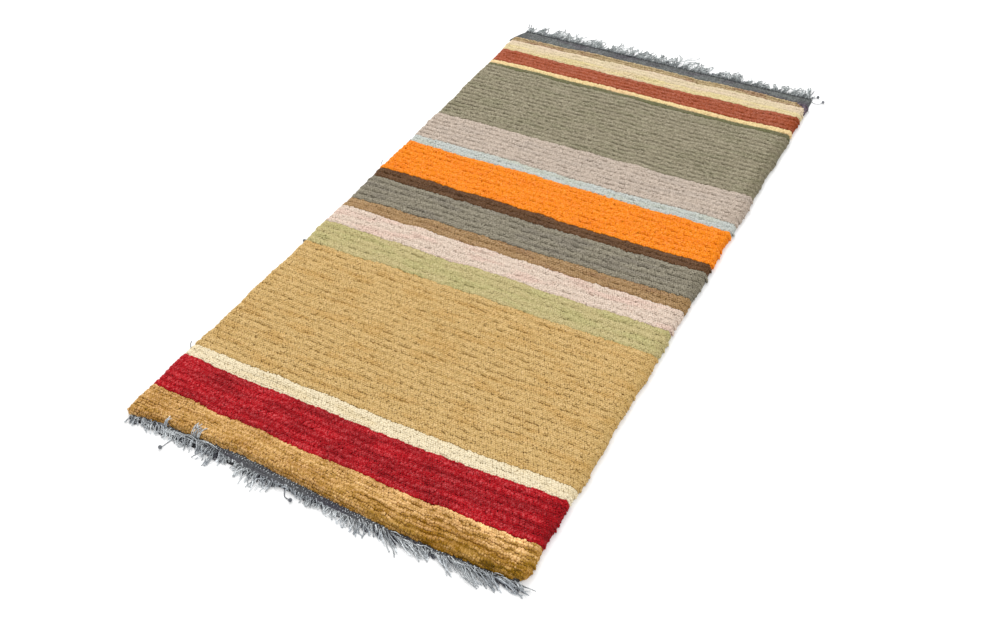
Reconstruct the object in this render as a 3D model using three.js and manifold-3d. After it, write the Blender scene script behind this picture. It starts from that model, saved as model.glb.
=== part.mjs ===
// A hand-knotted wool rug that lies flat: ribbed pile in cross stripes, a flat-woven band at the
// far end, and the warp's own threads as a fringe at both ends.
// Millimetres. X runs across the rug, +Y along it toward the flat-woven band, +Z up from the floor.

import * as THREE from "three";
import { mergeVertices } from "three/addons/utils/BufferGeometryUtils.js";
import Module from "manifold-3d";

const wasm = await Module();
wasm.setup();

// Driving dimensions of the cloth.
const RUG_WIDTH = 692;
const BAND_LENGTH = 33;
const BAND_HEIGHT = 4;
const RIB_DEPTH = 1.8;

// The stripes from the near end, each with its width along the rug, its rows of clumped knots, its
// pile height, and how much further on its far border lies at the left and right edges.
const STRIPES = [
  { name: "ochre", width: 54, ribs: 4, height: 14.6, left: 6, right: 8 },
  { name: "crimson", width: 81, ribs: 5, height: 14.8, left: 0, right: 14 },
  { name: "near_cream", width: 30, ribs: 2, height: 13.8, left: -1, right: 10 },
  { name: "sand", width: 312, ribs: 21, height: 14.0, left: -3, right: 1 },
  { name: "pale_green", width: 64, ribs: 4, height: 13.9, left: -2, right: 1 },
  { name: "pale_pink", width: 57, ribs: 4, height: 13.7, left: -4, right: 2 },
  { name: "tan_brown", width: 31, ribs: 2, height: 13.4, left: -6, right: 10 },
  { name: "grey", width: 76, ribs: 5, height: 14.0, left: -3, right: 6 },
  { name: "dark_brown", width: 28, ribs: 2, height: 13.5, left: 0, right: 3 },
  { name: "orange", width: 106, ribs: 7, height: 14.4, left: 0, right: 4 },
  { name: "pale_blue", width: 26, ribs: 2, height: 13.4, left: -2, right: 3 },
  { name: "taupe", width: 95, ribs: 7, height: 13.9, left: -4, right: 2 },
  { name: "olive_grey", width: 230, ribs: 17, height: 13.9, left: -4, right: 2 },
  { name: "green_line", width: 7, ribs: 1, height: 12.8, left: -4, right: 2 },
  { name: "yellow_line", width: 12, ribs: 1, height: 13.3, left: -4, right: 1 },
  { name: "rust_red", width: 51, ribs: 4, height: 13.9, left: -4, right: 12 },
  { name: "far_cream", width: 50, ribs: 4, height: 13.6, left: -2, right: 4 },
  { name: "gold", width: 18, ribs: 1, height: 12.8, left: 0, right: 0 },
];
const STRAIGHT = { left: 0, right: 0, nearness: 0 };

// One rib along the rug: where its rows lie in the pitch, and their share of the rib's depth.
const RIB_ROWS = [
  { at: 0, drop: 1 },
  { at: 0.26, drop: 0.12 },
  { at: 0.74, drop: 0.12 },
];

// The rim of a cross section: how far in from the edge, and at what share of the height.
const RIM = [
  { inset: 3.2, rise: 0 },
  { inset: 0, rise: 0.42 },
  { inset: 2.8, rise: 0.82 },
  { inset: 10, rise: 0.98 },
];
const FIELD_COLUMNS = [0.2, 0.4, 0.6, 0.8];

// The near edge isn't straight either: how much further in it lies at the left edge, at each field
// column and at the right edge.
const NEAR_LINE = [1, 8, 6, -2, -4.5, -4];

// The side edges are never quite straight: waves of a size, a length and a phase, and a bow.
const LEFT_BOW = 5;
const LEFT_WAVES = [
  { size: 1.1, length: 195, phase: 0 },
  { size: 0.7, length: 69, phase: 1 },
];
const RIGHT_WAVES = [
  { size: 1.2, length: 232, phase: 2 },
  { size: 0.8, length: 82, phase: 0 },
];

// The band's far left corner is drawn in by this much.
const CORNER_CUT = 9;

// Soft lumps of a pile that was clipped by hand, as waves that run aslant.
const LUMPS = [
  { size: 0.4, across: 333, along: 547, phase: 0 },
  { size: 0.3, across: 182, along: -258, phase: 2 },
];

// The near end of the pile rolls down to a blunt nose over this length.
const NOSE_LENGTH = 13;
const NOSE_RISE = 0.45;

// The pile's far end steps down to the flat-woven band over this length.
const STEP_LENGTH = 2;
const STEP_HEIGHT = 8;

// Driving dimensions of the fringes.
const GAP = 0.3;
const STRIP_WIDTH = 8;
const STRIP_HEIGHT = 3.6;
const STRIP_OUTER_HEIGHT = 2.9;
const STRAND_WIDTH = 1.7;
const STRAND_HEIGHT = 1.5;
const ROOT_DEPTH = 3;
const ROOT_LIFT = 0.7;
const END_INSET = 3;
const END_MARGIN = 5;
const STRANDS_PER_TUFT = 7;
const TUFTS = 17;
const TUFT_GATHER = 0.42;
const TUFT_LEAN_SPREAD = 4;
const TUFT_CURL_SPREAD = 2.4;
const SHORTEST_SHARE = 0.72;
const SHORTEST_TUFT = 0.8;
const CORNER_SPLAY = 14;

const STRAND_BENDS = [0.2, 0.6, 1];

const PILE_LENGTH = STRIPES.reduce((sum, stripe) => sum + stripe.width, 0);
const CLOTH_LENGTH = PILE_LENGTH + BAND_LENGTH;

const WOOL = new THREE.MeshStandardMaterial({ color: 0xc9a66a, roughness: 0.95, metalness: 0 });
const COTTON = new THREE.MeshStandardMaterial({ color: 0x8f9494, roughness: 0.9, metalness: 0 });

/** A repeatable source of numbers from 0 to 1. */
function randomSource(seed) {
  let state = seed;
  return () => {
    state = (state * 1664525 + 1013904223) % 4294967296;
    return state / 4294967296;
  };
}

/** The sum of some waves at a place along an edge. */
function waver(waves, y) {
  const turn = 2 * Math.PI;
  return waves.reduce((sum, { size, length, phase }) => {
    return sum + size * Math.sin((turn * y) / length + phase);
  }, 0);
}

/** The left edge's X: bowed toward the middle, uneven, and drawn in along the band. */
function leftEdge(y) {
  const bow = LEFT_BOW * Math.sin((Math.PI * y) / CLOTH_LENGTH);
  const beyond = Math.max(0, (y - PILE_LENGTH) / BAND_LENGTH);
  return bow + waver(LEFT_WAVES, y) + CORNER_CUT * beyond;
}

/** The right edge's X, uneven like the left one. */
function rightEdge(y) {
  return RUG_WIDTH + waver(RIGHT_WAVES, y);
}

/** The value at a place from a few that stand at equal steps. */
function between(values, share) {
  const step = THREE.MathUtils.clamp(share, 0, 1) * (values.length - 1);
  const low = Math.min(Math.floor(step), values.length - 2);
  return THREE.MathUtils.lerp(values[low], values[low + 1], step - low);
}

/** How much further in than a straight line the near edge lies at X. */
function nearLine(x) {
  return between(NEAR_LINE, (x - leftEdge(0)) / (rightEdge(0) - leftEdge(0)));
}

/**
 * How far on a row has strayed at X: in the first stripe by its share of the near edge's line,
 * and otherwise by what it strays by at the two edges.
 */
function stray(row, x) {
  const across = (2 * x) / RUG_WIDTH - 1;
  const side = across < 0 ? row.left : row.right;
  return side * across * across + row.nearness * nearLine(x);
}

/** How far the lumps lift the pile's top at a point. */
function lumps(x, y) {
  const turn = 2 * Math.PI;
  return LUMPS.reduce((sum, { size, across, along, phase }) => {
    return sum + size * Math.sin((turn * x) / across + (turn * y) / along + phase);
  }, 0);
}

/** The share of the full height that the nose reaches at Y. */
function noseRise(y) {
  if (y >= NOSE_LENGTH) {
    return 1;
  }
  const back = 1 - y / NOSE_LENGTH;
  return NOSE_RISE + (1 - NOSE_RISE) * Math.sqrt(1 - back * back);
}

/** The rows of the cloth from the near end to the far one, three to each rib of pile. */
function clothRows() {
  const rows = [];
  let start = 0;
  let border = STRAIGHT;
  for (const stripe of STRIPES) {
    const pitch = stripe.width / stripe.ribs;
    for (let rib = 0; rib < stripe.ribs; rib += 1) {
      for (const { at, drop } of RIB_ROWS) {
        const share = (rib + at) / stripe.ribs;
        const y = start + (rib + at) * pitch;
        rows.push({
          y,
          height: (stripe.height - RIB_DEPTH * drop) * noseRise(y),
          left: THREE.MathUtils.lerp(border.left, stripe.left, share),
          right: THREE.MathUtils.lerp(border.right, stripe.right, share),
          nearness: stripe === STRIPES[0] ? 1 - share : 0,
        });
      }
    }
    start += stripe.width;
    border = stripe;
  }
  rows.push({ y: PILE_LENGTH, height: STEP_HEIGHT, ...STRAIGHT });
  rows.push({ y: PILE_LENGTH + STEP_LENGTH, height: BAND_HEIGHT, ...STRAIGHT });
  rows.push({ y: PILE_LENGTH + BAND_LENGTH / 2, height: BAND_HEIGHT, ...STRAIGHT });
  rows.push({ y: CLOTH_LENGTH, height: BAND_HEIGHT, ...STRAIGHT });
  return rows;
}

/** One cross section of the cloth: over the left rim, across, down the right rim, and back. */
function clothSection(row) {
  const left = leftEdge(row.y);
  const right = rightEdge(row.y);
  const fullness = Math.min(1, row.height / STRIPES[0].height);
  const point = (x, z) => new THREE.Vector3(x, row.y + stray(row, x), z);
  const leftRim = RIM.map(({ inset, rise }) => point(left + inset * fullness, rise * row.height));
  const columns = FIELD_COLUMNS.map((share) => left + share * (right - left));
  const field = columns.map((x) => point(x, row.height + lumps(x, row.y) * fullness));
  const floor = columns.map((x) => point(x, 0));
  const rightRim = RIM.map(({ inset, rise }) => point(right - inset * fullness, rise * row.height));
  return [...leftRim, ...field, ...rightRim.reverse(), ...floor.reverse()];
}

/** The faces that close an end of the cloth, cell by cell between its floor and its top. */
function clothCap() {
  const rim = RIM.length;
  const columns = FIELD_COLUMNS.length;
  const count = 2 * rim + 2 * columns;
  const faces = [];
  const fan = (corners) => {
    for (let k = 1; k + 1 < corners.length; k += 1) {
      faces.push([corners[0], corners[k], corners[k + 1]]);
    }
  };
  const top = (column) => rim + column;
  const floor = (column) => count - 1 - column;
  fan([...RIM.keys(), top(0), floor(0)]);
  for (let column = 0; column + 1 < columns; column += 1) {
    fan([floor(column), top(column), top(column + 1), floor(column + 1)]);
  }
  const rightRim = [...RIM.keys()].map((step) => rim + columns + step);
  fan([floor(columns - 1), top(columns - 1), ...rightRim]);
  return faces;
}

/** The faces that close an end of a convex section. */
function fanCap(count) {
  return Array.from({ length: count - 2 }, (_, k) => [0, k + 1, k + 2]);
}

/** Joins a run of sections with the same number of points into one closed skin. */
function loft(sections, cap = fanCap(sections[0].length)) {
  const count = sections[0].length;
  const last = (sections.length - 1) * count;
  const faces = [];
  for (let s = 0; s + 1 < sections.length; s += 1) {
    for (let k = 0; k < count; k += 1) {
      const a = s * count + k;
      const b = s * count + ((k + 1) % count);
      faces.push(a, b, b + count, a, b + count, a + count);
    }
  }
  for (const [a, b, c] of cap) {
    faces.push(a, c, b);
    faces.push(last + a, last + b, last + c);
  }
  const geometry = new THREE.BufferGeometry().setFromPoints(sections.flat());
  geometry.setIndex(facesOutward(sections.flat(), faces));
  return geometry;
}

/** The faces turned, if need be, so that the skin encloses a positive volume. */
function facesOutward(points, faces) {
  let volume = 0;
  for (let f = 0; f < faces.length; f += 3) {
    const [a, b, c] = [points[faces[f]], points[faces[f + 1]], points[faces[f + 2]]];
    volume += a.dot(new THREE.Vector3().crossVectors(b, c));
  }
  return volume < 0 ? faces.reverse() : faces;
}

/** A closed geometry as a solid that can be joined to others. */
function toSolid(geometry) {
  const merged = mergeVertices(geometry, 1e-4);
  const vertProperties = new Float32Array(merged.attributes.position.array);
  const triVerts = new Uint32Array(merged.index.array);
  return new wasm.Manifold(new wasm.Mesh({ numProp: 3, vertProperties, triVerts }));
}

/** A joined solid as a geometry. */
function toGeometry(solid) {
  const mesh = solid.getMesh();
  const geometry = new THREE.BufferGeometry();
  geometry.setAttribute("position", new THREE.BufferAttribute(mesh.vertProperties, 3));
  geometry.setIndex(new THREE.BufferAttribute(mesh.triVerts, 1));
  return geometry;
}

/** The narrow woven strip that holds the roots of one fringe, bent as the edge beside it is. */
function rootStrip(end) {
  const sectionAt = (x) => {
    const inner = end.edge + end.line(x) + end.outward * GAP;
    const outer = inner + end.outward * STRIP_WIDTH;
    return [
      new THREE.Vector3(x, inner, 0),
      new THREE.Vector3(x, inner, STRIP_HEIGHT),
      new THREE.Vector3(x, outer, STRIP_OUTER_HEIGHT),
      new THREE.Vector3(x, outer, 0),
    ];
  };
  return loft([end.from, ...end.bends, end.to].map(sectionAt));
}

/** One thread of the fringe: three-sided, flat underneath, lying on the floor past its root. */
function strand(path) {
  const sections = path.map((point, index) => {
    const before = path[Math.max(index - 1, 0)];
    const after = path[Math.min(index + 1, path.length - 1)];
    const side = new THREE.Vector3(before.y - after.y, after.x - before.x, 0);
    side.setLength(STRAND_WIDTH / 2);
    return [
      point.clone().add(side),
      point.clone().sub(side),
      point.clone().add(new THREE.Vector3(0, 0, STRAND_HEIGHT)),
    ];
  });
  return loft(sections);
}

/**
 * The paths of all the threads at one end. The threads of a tuft lean, gather and curl alike by
 * how far out they are, so that they never cross, and each stops at its own share of the reach.
 */
function strandPaths(end) {
  const random = randomSource(end.seed);
  const from = end.from + END_MARGIN;
  const pitch = (end.to - END_MARGIN - from) / (TUFTS * STRANDS_PER_TUFT - 1);
  const paths = [];
  for (let tuft = 0; tuft < TUFTS; tuft += 1) {
    const middle = from + (tuft + 0.5) * STRANDS_PER_TUFT * pitch;
    const lean = end.lean(middle) + TUFT_LEAN_SPREAD * (random() - 0.5);
    const along = (middle - end.from) / (end.to - end.from);
    const reach = between(end.reaches, along) * THREE.MathUtils.lerp(SHORTEST_TUFT, 1, random());
    const curl = TUFT_CURL_SPREAD * (random() - 0.5);
    for (let thread = 0; thread < STRANDS_PER_TUFT; thread += 1) {
      const x = from + (tuft * STRANDS_PER_TUFT + thread) * pitch;
      const gather = TUFT_GATHER * (middle - x);
      const share = THREE.MathUtils.lerp(SHORTEST_SHARE, 1, random());
      const base = end.edge + end.line(x) + end.outward * (GAP + STRIP_WIDTH);
      const root = new THREE.Vector3(x, base - end.outward * ROOT_DEPTH, ROOT_LIFT);
      const run = STRAND_BENDS.map((bend) => {
        const out = bend * share;
        const aside = lean * out ** 1.5 + gather * out + curl * Math.sin(Math.PI * out);
        return new THREE.Vector3(x + aside, base + end.outward * out * reach, 0);
      });
      paths.push([root, ...run]);
    }
  }
  return paths;
}

/** A strip and its threads, joined at the roots. */
function fringeGeometry(end) {
  const solids = [toSolid(rootStrip(end))];
  for (const path of strandPaths(end)) {
    solids.push(toSolid(strand(path)));
  }
  return toGeometry(wasm.Manifold.union(solids));
}

const nearEnd = {
  seed: 11,
  outward: -1,
  from: leftEdge(0) + END_INSET,
  to: rightEdge(0) - END_INSET,
  edge: 0,
  line: nearLine,
  bends: FIELD_COLUMNS.map((share) => THREE.MathUtils.lerp(leftEdge(0), rightEdge(0), share)),
  lean: (x) => waver([{ size: 5, length: 600, phase: 0.3 }], x),
  reaches: [9, 10, 15, 12, 25, 13, 15, 24, 17, 20, 11],
};
const farEnd = {
  seed: 23,
  outward: 1,
  from: leftEdge(CLOTH_LENGTH) + END_INSET,
  to: rightEdge(CLOTH_LENGTH) - END_INSET,
  edge: CLOTH_LENGTH,
  line: () => 0,
  bends: [],
  lean: (x) => waver([{ size: 6, length: 500, phase: 1 }], x) + CORNER_SPLAY * (x / RUG_WIDTH) ** 4,
  reaches: [36, 33, 37, 34, 43, 33, 48, 38, 33, 28, 40],
};

/** A named mesh of one material. */
function piece(name, geometry, material) {
  const mesh = new THREE.Mesh(geometry, material);
  mesh.name = name;
  return mesh;
}

const rug = new THREE.Group();
rug.add(piece("rug_cloth", loft(clothRows().map(clothSection), clothCap()), WOOL));
rug.add(piece("near_fringe", fringeGeometry(nearEnd), COTTON));
rug.add(piece("far_fringe", fringeGeometry(farEnd), COTTON));

// The origin is under the middle of the whole rug, fringes included, on the floor.
const box = new THREE.Box3().setFromObject(rug);
const middle = box.getCenter(new THREE.Vector3());
rug.position.set(-middle.x, -middle.y, -box.min.z);

export default rug;
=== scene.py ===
"""A hand-knotted wool rug in cross stripes, with a flat-woven band and fringes, lying on a floor."""

import logging
import math
from dataclasses import dataclass, field
from enum import Enum
from typing import Any

import bpy
import numpy as np
from mathutils import Matrix, Vector


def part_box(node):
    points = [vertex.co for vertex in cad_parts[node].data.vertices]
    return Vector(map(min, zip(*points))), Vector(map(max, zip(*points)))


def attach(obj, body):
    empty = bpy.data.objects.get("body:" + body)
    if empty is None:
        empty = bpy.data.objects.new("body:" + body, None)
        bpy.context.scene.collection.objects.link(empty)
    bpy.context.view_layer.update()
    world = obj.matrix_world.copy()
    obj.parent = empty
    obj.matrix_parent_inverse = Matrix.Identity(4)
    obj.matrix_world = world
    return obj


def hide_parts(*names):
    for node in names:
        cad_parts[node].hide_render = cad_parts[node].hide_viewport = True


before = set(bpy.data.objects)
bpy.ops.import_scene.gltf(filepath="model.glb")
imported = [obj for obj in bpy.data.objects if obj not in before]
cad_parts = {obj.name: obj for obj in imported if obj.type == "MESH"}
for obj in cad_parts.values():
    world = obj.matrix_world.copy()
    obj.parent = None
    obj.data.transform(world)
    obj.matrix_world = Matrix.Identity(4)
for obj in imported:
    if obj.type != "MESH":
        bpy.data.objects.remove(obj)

LOG = logging.getLogger("rug")
MM = 0.001
Colour = tuple[int, int, int]
Array = np.ndarray
Point = tuple[float, float, float]
Profile = tuple[tuple[float, float], ...]
NO_CORNERS = np.zeros((0, 2), int)


class End(Enum):
    """The two ends of the rug, with the way that each one faces along it."""

    NEAR = -1
    FAR = 1


@dataclass(frozen=True)
class Wave:
    """One sine wave of an uneven edge, in millimetres.

    Attributes:
        size: Its height to each side.
        length: Its length along the edge.
        phase: Where it starts, in radians.
    """

    size: float
    length: float
    phase: float

    def at(self, place: Array) -> Array:
        """The wave's height at each place."""
        return self.size * np.sin(math.tau * place / self.length + self.phase)


@dataclass(frozen=True)
class Dye:
    """The colours of one lot of wool, as the eye sees them in soft light.

    Attributes:
        face: The usual colour of the cut ends.
        patch: The colour where the lot took the dye differently.
        patches: The share of the stripe that shows the patch colour.
        shaded_foot: How bright the foot of a tuft is in painted shade, next to its cut end.
        fleck: How much one cut end differs from the next.
    """

    face: Colour
    patch: Colour
    patches: float = 0.35
    shaded_foot: float = 0.6
    fleck: float = 0.06


@dataclass(frozen=True)
class Stripe:
    """One stripe of pile, in millimetres.

    Attributes:
        name: Its colour in plain words.
        width: Its size along the rug.
        ribs: How many rows of clumped knots it has.
        height: Its top above the floor.
        left: How much further on its far border lies at the left edge than in the middle.
        right: The same at the right edge.
        dye: The colours of its wool.
        clefts: The share of the valleys between its ribs that stands open.
        grooves: How much wider they stand toward the right edge.
        wander: How far its ribs wander to each side.
        painted_shading: How much painted shade darkens its near side, and painted light brightens its far
            side, toward the right edge.
    """

    name: str
    width: float
    ribs: int
    height: float
    left: float
    right: float
    dye: Dye
    clefts: float = 0.4
    grooves: float = 0.0
    wander: float = 0.8
    painted_shading: float = 0.0


STRIPES = (
    # The ochre's near side is painted in shade, and its far side in light.
    Stripe(
        "ochre", 54, 5, 14.6, 6, 8, Dye((194, 152, 87), (170, 125, 60), 0.6, fleck=0.24), 0.16, 0.88, 3.2,
        painted_shading=0.85,
    ),
    Stripe("crimson", 81, 6, 14.8, 0, 14, Dye((179, 25, 34), (146, 10, 20), 0.7, fleck=0.22), 0.06, 0, 1.8),
    Stripe("near_cream", 30, 2, 13.8, -1, 10, Dye((227, 213, 182), (222, 205, 168), 0.4, fleck=0.04), 0.2),
    Stripe("sand", 312, 21, 14.0, -3, 1, Dye((200, 168, 111), (195, 159, 99), 0.4, fleck=0.1), 0.45),
    Stripe("pale_green", 64, 4, 13.9, -2, 1, Dye((187, 173, 125), (180, 171, 119), 0.5, fleck=0.09), 0.4),
    Stripe("pale_pink", 57, 4, 13.7, -4, 2, Dye((213, 195, 179), (214, 189, 174), 0.4, fleck=0.07), 0.3),
    Stripe("tan_brown", 31, 2, 13.4, -6, 10, Dye((163, 132, 93), (153, 120, 85), 0.4, fleck=0.14), 0.5),
    Stripe("grey", 76, 5, 14.0, -3, 6, Dye((139, 132, 115), (131, 124, 110), 0.4, fleck=0.18), 0.75),
    Stripe("dark_brown", 28, 2, 13.5, 0, 3, Dye((98, 69, 45), (88, 61, 40), 0.4, fleck=0.18), 0.5),
    Stripe("orange", 106, 7, 14.4, 0, 4, Dye((238, 138, 36), (235, 132, 34), 0.4, fleck=0.05), 0.35),
    Stripe("pale_blue", 26, 2, 13.4, -2, 3, Dye((186, 190, 185), (184, 188, 176), 0.5, fleck=0.06), 0.3),
    Stripe("taupe", 95, 7, 13.9, -4, 2, Dye((187, 172, 158), (183, 169, 156), 0.4, fleck=0.12), 0.6),
    Stripe(
        "olive_grey", 225, 17, 13.9, -4, 2, Dye((145, 137, 115), (139, 133, 109), 0.45, fleck=0.22), 0.85
    ),
    Stripe("green_line", 12.5, 1, 13.2, -5.5, 4, Dye((104, 104, 72), (112, 108, 82), 0.5, fleck=0.12), 0.4),
    Stripe("yellow_line", 13.5, 1, 13.4, -5, 6, Dye((226, 202, 150), (228, 196, 150), 0.4), 0.3),
    Stripe("rust_red", 50, 4, 13.9, -4, 12, Dye((160, 83, 56), (158, 86, 61), 0.4, fleck=0.18), 0.5),
    Stripe("far_cream", 23, 2, 13.6, -4, 4, Dye((215, 199, 151), (214, 195, 160), 0.5, fleck=0.05), 0.2),
    Stripe("far_rose", 26, 2, 13.6, -9, 2, Dye((212, 196, 164), (213, 194, 169), 0.5, fleck=0.05), 0.2),
    Stripe("gold", 22, 2, 12.8, -9, -1, Dye((170, 150, 112), (150, 120, 92), 0.5, fleck=0.3), 0.5),
)


# Places across the rug, and how far the threads reach past the strip there, in millimetres.
FAR_REACH = (
    (0, 41), (12, 15), (25, 37), (45, 37), (55, 10), (70, 39), (84, 34), (95, 15), (112, 41),
    (130, 43), (146, 12), (165, 35), (190, 38), (210, 9), (228, 48), (240, 16), (252, 35),
    (265, 39), (282, 40), (300, 32), (330, 33), (352, 46), (362, 8), (372, 54), (393, 46),
    (403, 3), (414, 44), (426, 43), (437, 30), (452, 35), (462, 6), (478, 35), (495, 9),
    (505, 38), (535, 39), (546, 18), (565, 32), (585, 16), (600, 11), (613, 31), (630, 30),
    (646, 34), (670, 32), (684, 45), (692, 34),
)
NEAR_FLYAWAYS = ((0, 5), (150, 8), (180, 20), (210, 4), (460, 6), (500, 5), (660, 5), (692, 8))
NEAR_LEANS = ((0, 0.3), (60, 0.3), (200, 0.0), (420, 0.1), (470, 1.15), (660, 1.3), (692, 1.2))
NEAR_TUCKS = (
    (0, 0.2), (40, 1.0), (190, 1.0), (214, 0.0), (430, 0.1), (460, 1.0), (530, 0.6), (640, 0.6),
    (680, 1.0),
)
NEAR_REACH = (
    (0, 7), (20, 12), (45, 14), (75, 13), (100, 15), (125, 18), (150, 15), (164, 27), (184, 25),
    (200, 3), (214, 3), (226, 14), (245, 21), (262, 23), (285, 19), (297, 1), (312, 1), (330, 8),
    (345, 12), (385, 11), (420, 15), (452, 18), (482, 15), (505, 12), (545, 10), (580, 15),
    (615, 15), (655, 10), (692, 7),
)
NEAR_SHADE_REACH = (
    (0, 4), (20, 7), (150, 8), (190, 10), (200, 1), (214, 1), (235, 12), (280, 12), (298, 1),
    (312, 1), (345, 7), (452, 7), (500, 4), (692, 4),
)
FAR_SHADE_REACH = ((0, 17), (692, 17))


@dataclass(frozen=True)
class Stray:
    """One thread that has worked loose.

    Attributes:
        points: The points that it passes, in millimetres.
        dark: Whether it is dirty dark.
        knotted: Whether it ends in a knot.
    """

    points: tuple[Point, ...]
    dark: bool = True
    knotted: bool = False


STRAYS = (
    Stray(((101, -1, 3), (99, -9, 1.2), (96, -22, 0.8), (94, -33, 1.5)), knotted=True),
    Stray(((306, -6, 3), (311, -16, 1), (317, -24, 0.8), (329, -26, 2)), knotted=True),
    Stray(((664, -7, 3.6), (680, -12, 2.4), (695, -10, 1.4), (705, -4, 1.2)), dark=False),
    Stray(((668, -14, 2), (683, -18, 1), (699, -15, 0.8)), dark=False),
    Stray(((16, 1378, 3), (9, 1388, 1.5), (0, 1400, 1), (-4, 1408, 1))),
    Stray(((19, 1378, 3), (12, 1389, 1.5), (5, 1401, 1), (2, 1407, 1))),
    Stray(((15, 1377, 3), (6, 1387, 1.5), (-1, 1395, 1))),
    Stray(((688, 1362, 4), (699, 1357, 2), (709, 1362, 1.5), (714, 1370, 2.2)), knotted=True),
    Stray(((683, 1371, 4), (692, 1378, 2), (699, 1385, 2.2)), knotted=True),
    Stray(((681, 1376, 4), (683, 1392, 1.5), (684, 1410, 1))),
)


def linear(colour: Colour) -> tuple[float, float, float, float]:
    """A colour as the eye sees it, 0 to 255, in the numbers that a shader takes.

    Args:
        colour: Red, green and blue.

    Returns:
        Red, green, blue and a full alpha.
    """
    channels = [value / 255 for value in colour]
    bent = [c / 12.92 if c <= 0.04045 else ((c + 0.055) / 1.055) ** 2.4 for c in channels]
    return (bent[0], bent[1], bent[2], 1.0)


def plant(tree: bpy.types.NodeTree, kind: str, inputs: dict | None = None, **options: Any) -> Any:
    """Adds a node to a tree, with its options and its inputs filled.

    Args:
        tree: The node tree.
        kind: The node's type.
        inputs: A value or a socket for each input, by name or index.
        options: The node's own settings.

    Returns:
        The node.
    """
    made = tree.nodes.new(kind)
    for name, value in options.items():
        setattr(made, name, value)
    for name, value in (inputs or {}).items():
        if isinstance(value, bpy.types.NodeSocket):
            tree.links.new(value, made.inputs[name])
        else:
            made.inputs[name].default_value = value
    return made


def calculated(tree: bpy.types.NodeTree, operation: str, first: Any, second: Any) -> Any:
    """The socket of two values' sum, difference or product in a tree."""
    return plant(tree, "ShaderNodeMath", {0: first, 1: second}, operation=operation).outputs[0]


def ranged(
    tree: bpy.types.NodeTree,
    value: Any,
    source: tuple,
    target: tuple = (0.0, 1.0),
    easing: str = "LINEAR",
) -> Any:
    """A value mapped from one range to another, and held inside it.

    Args:
        tree: The node tree.
        value: The socket that is mapped.
        source: The low and high ends that it comes from, as numbers or sockets.
        target: The low and high ends that it goes to.
        easing: How it runs from one end to the other.

    Returns:
        The result's socket.
    """
    sockets = dict(enumerate((value, *source, *target)))
    return plant(tree, "ShaderNodeMapRange", sockets, interpolation_type=easing).outputs[0]


class NodeGroup:
    """A node group that is built the first time that it is asked for.

    Each kind names its tree, and the type of each of its inputs and outputs.
    """

    NAME = "group"
    KIND = "GeometryNodeTree"
    INPUTS: dict[str, str] = {}
    OUTPUTS: dict[str, str] = {"Geometry": "Geometry"}

    @classmethod
    def tree(cls) -> bpy.types.NodeTree:
        """The group's tree, built once."""
        return bpy.data.node_groups.get(cls.NAME) or cls._build()

    @classmethod
    def _build(cls) -> bpy.types.NodeTree:
        """Builds the tree with its named inputs and outputs."""
        tree = bpy.data.node_groups.new(cls.NAME, cls.KIND)
        for way, sockets in (("INPUT", cls.INPUTS), ("OUTPUT", cls.OUTPUTS)):
            for name, kind in sockets.items():
                tree.interface.new_socket(name, in_out=way, socket_type=f"NodeSocket{kind}")
        results = cls._fill(tree, tree.nodes.new("NodeGroupInput").outputs)
        plant(tree, "NodeGroupOutput", results)
        return tree

    @classmethod
    def _fill(cls, tree: bpy.types.NodeTree, given: Any) -> dict[str, Any]:
        """Adds the nodes between the tree's inputs and outputs.

        Args:
            tree: The tree.
            given: The sockets of its inputs.

        Returns:
            The socket for each of its outputs.
        """
        raise NotImplementedError


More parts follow.
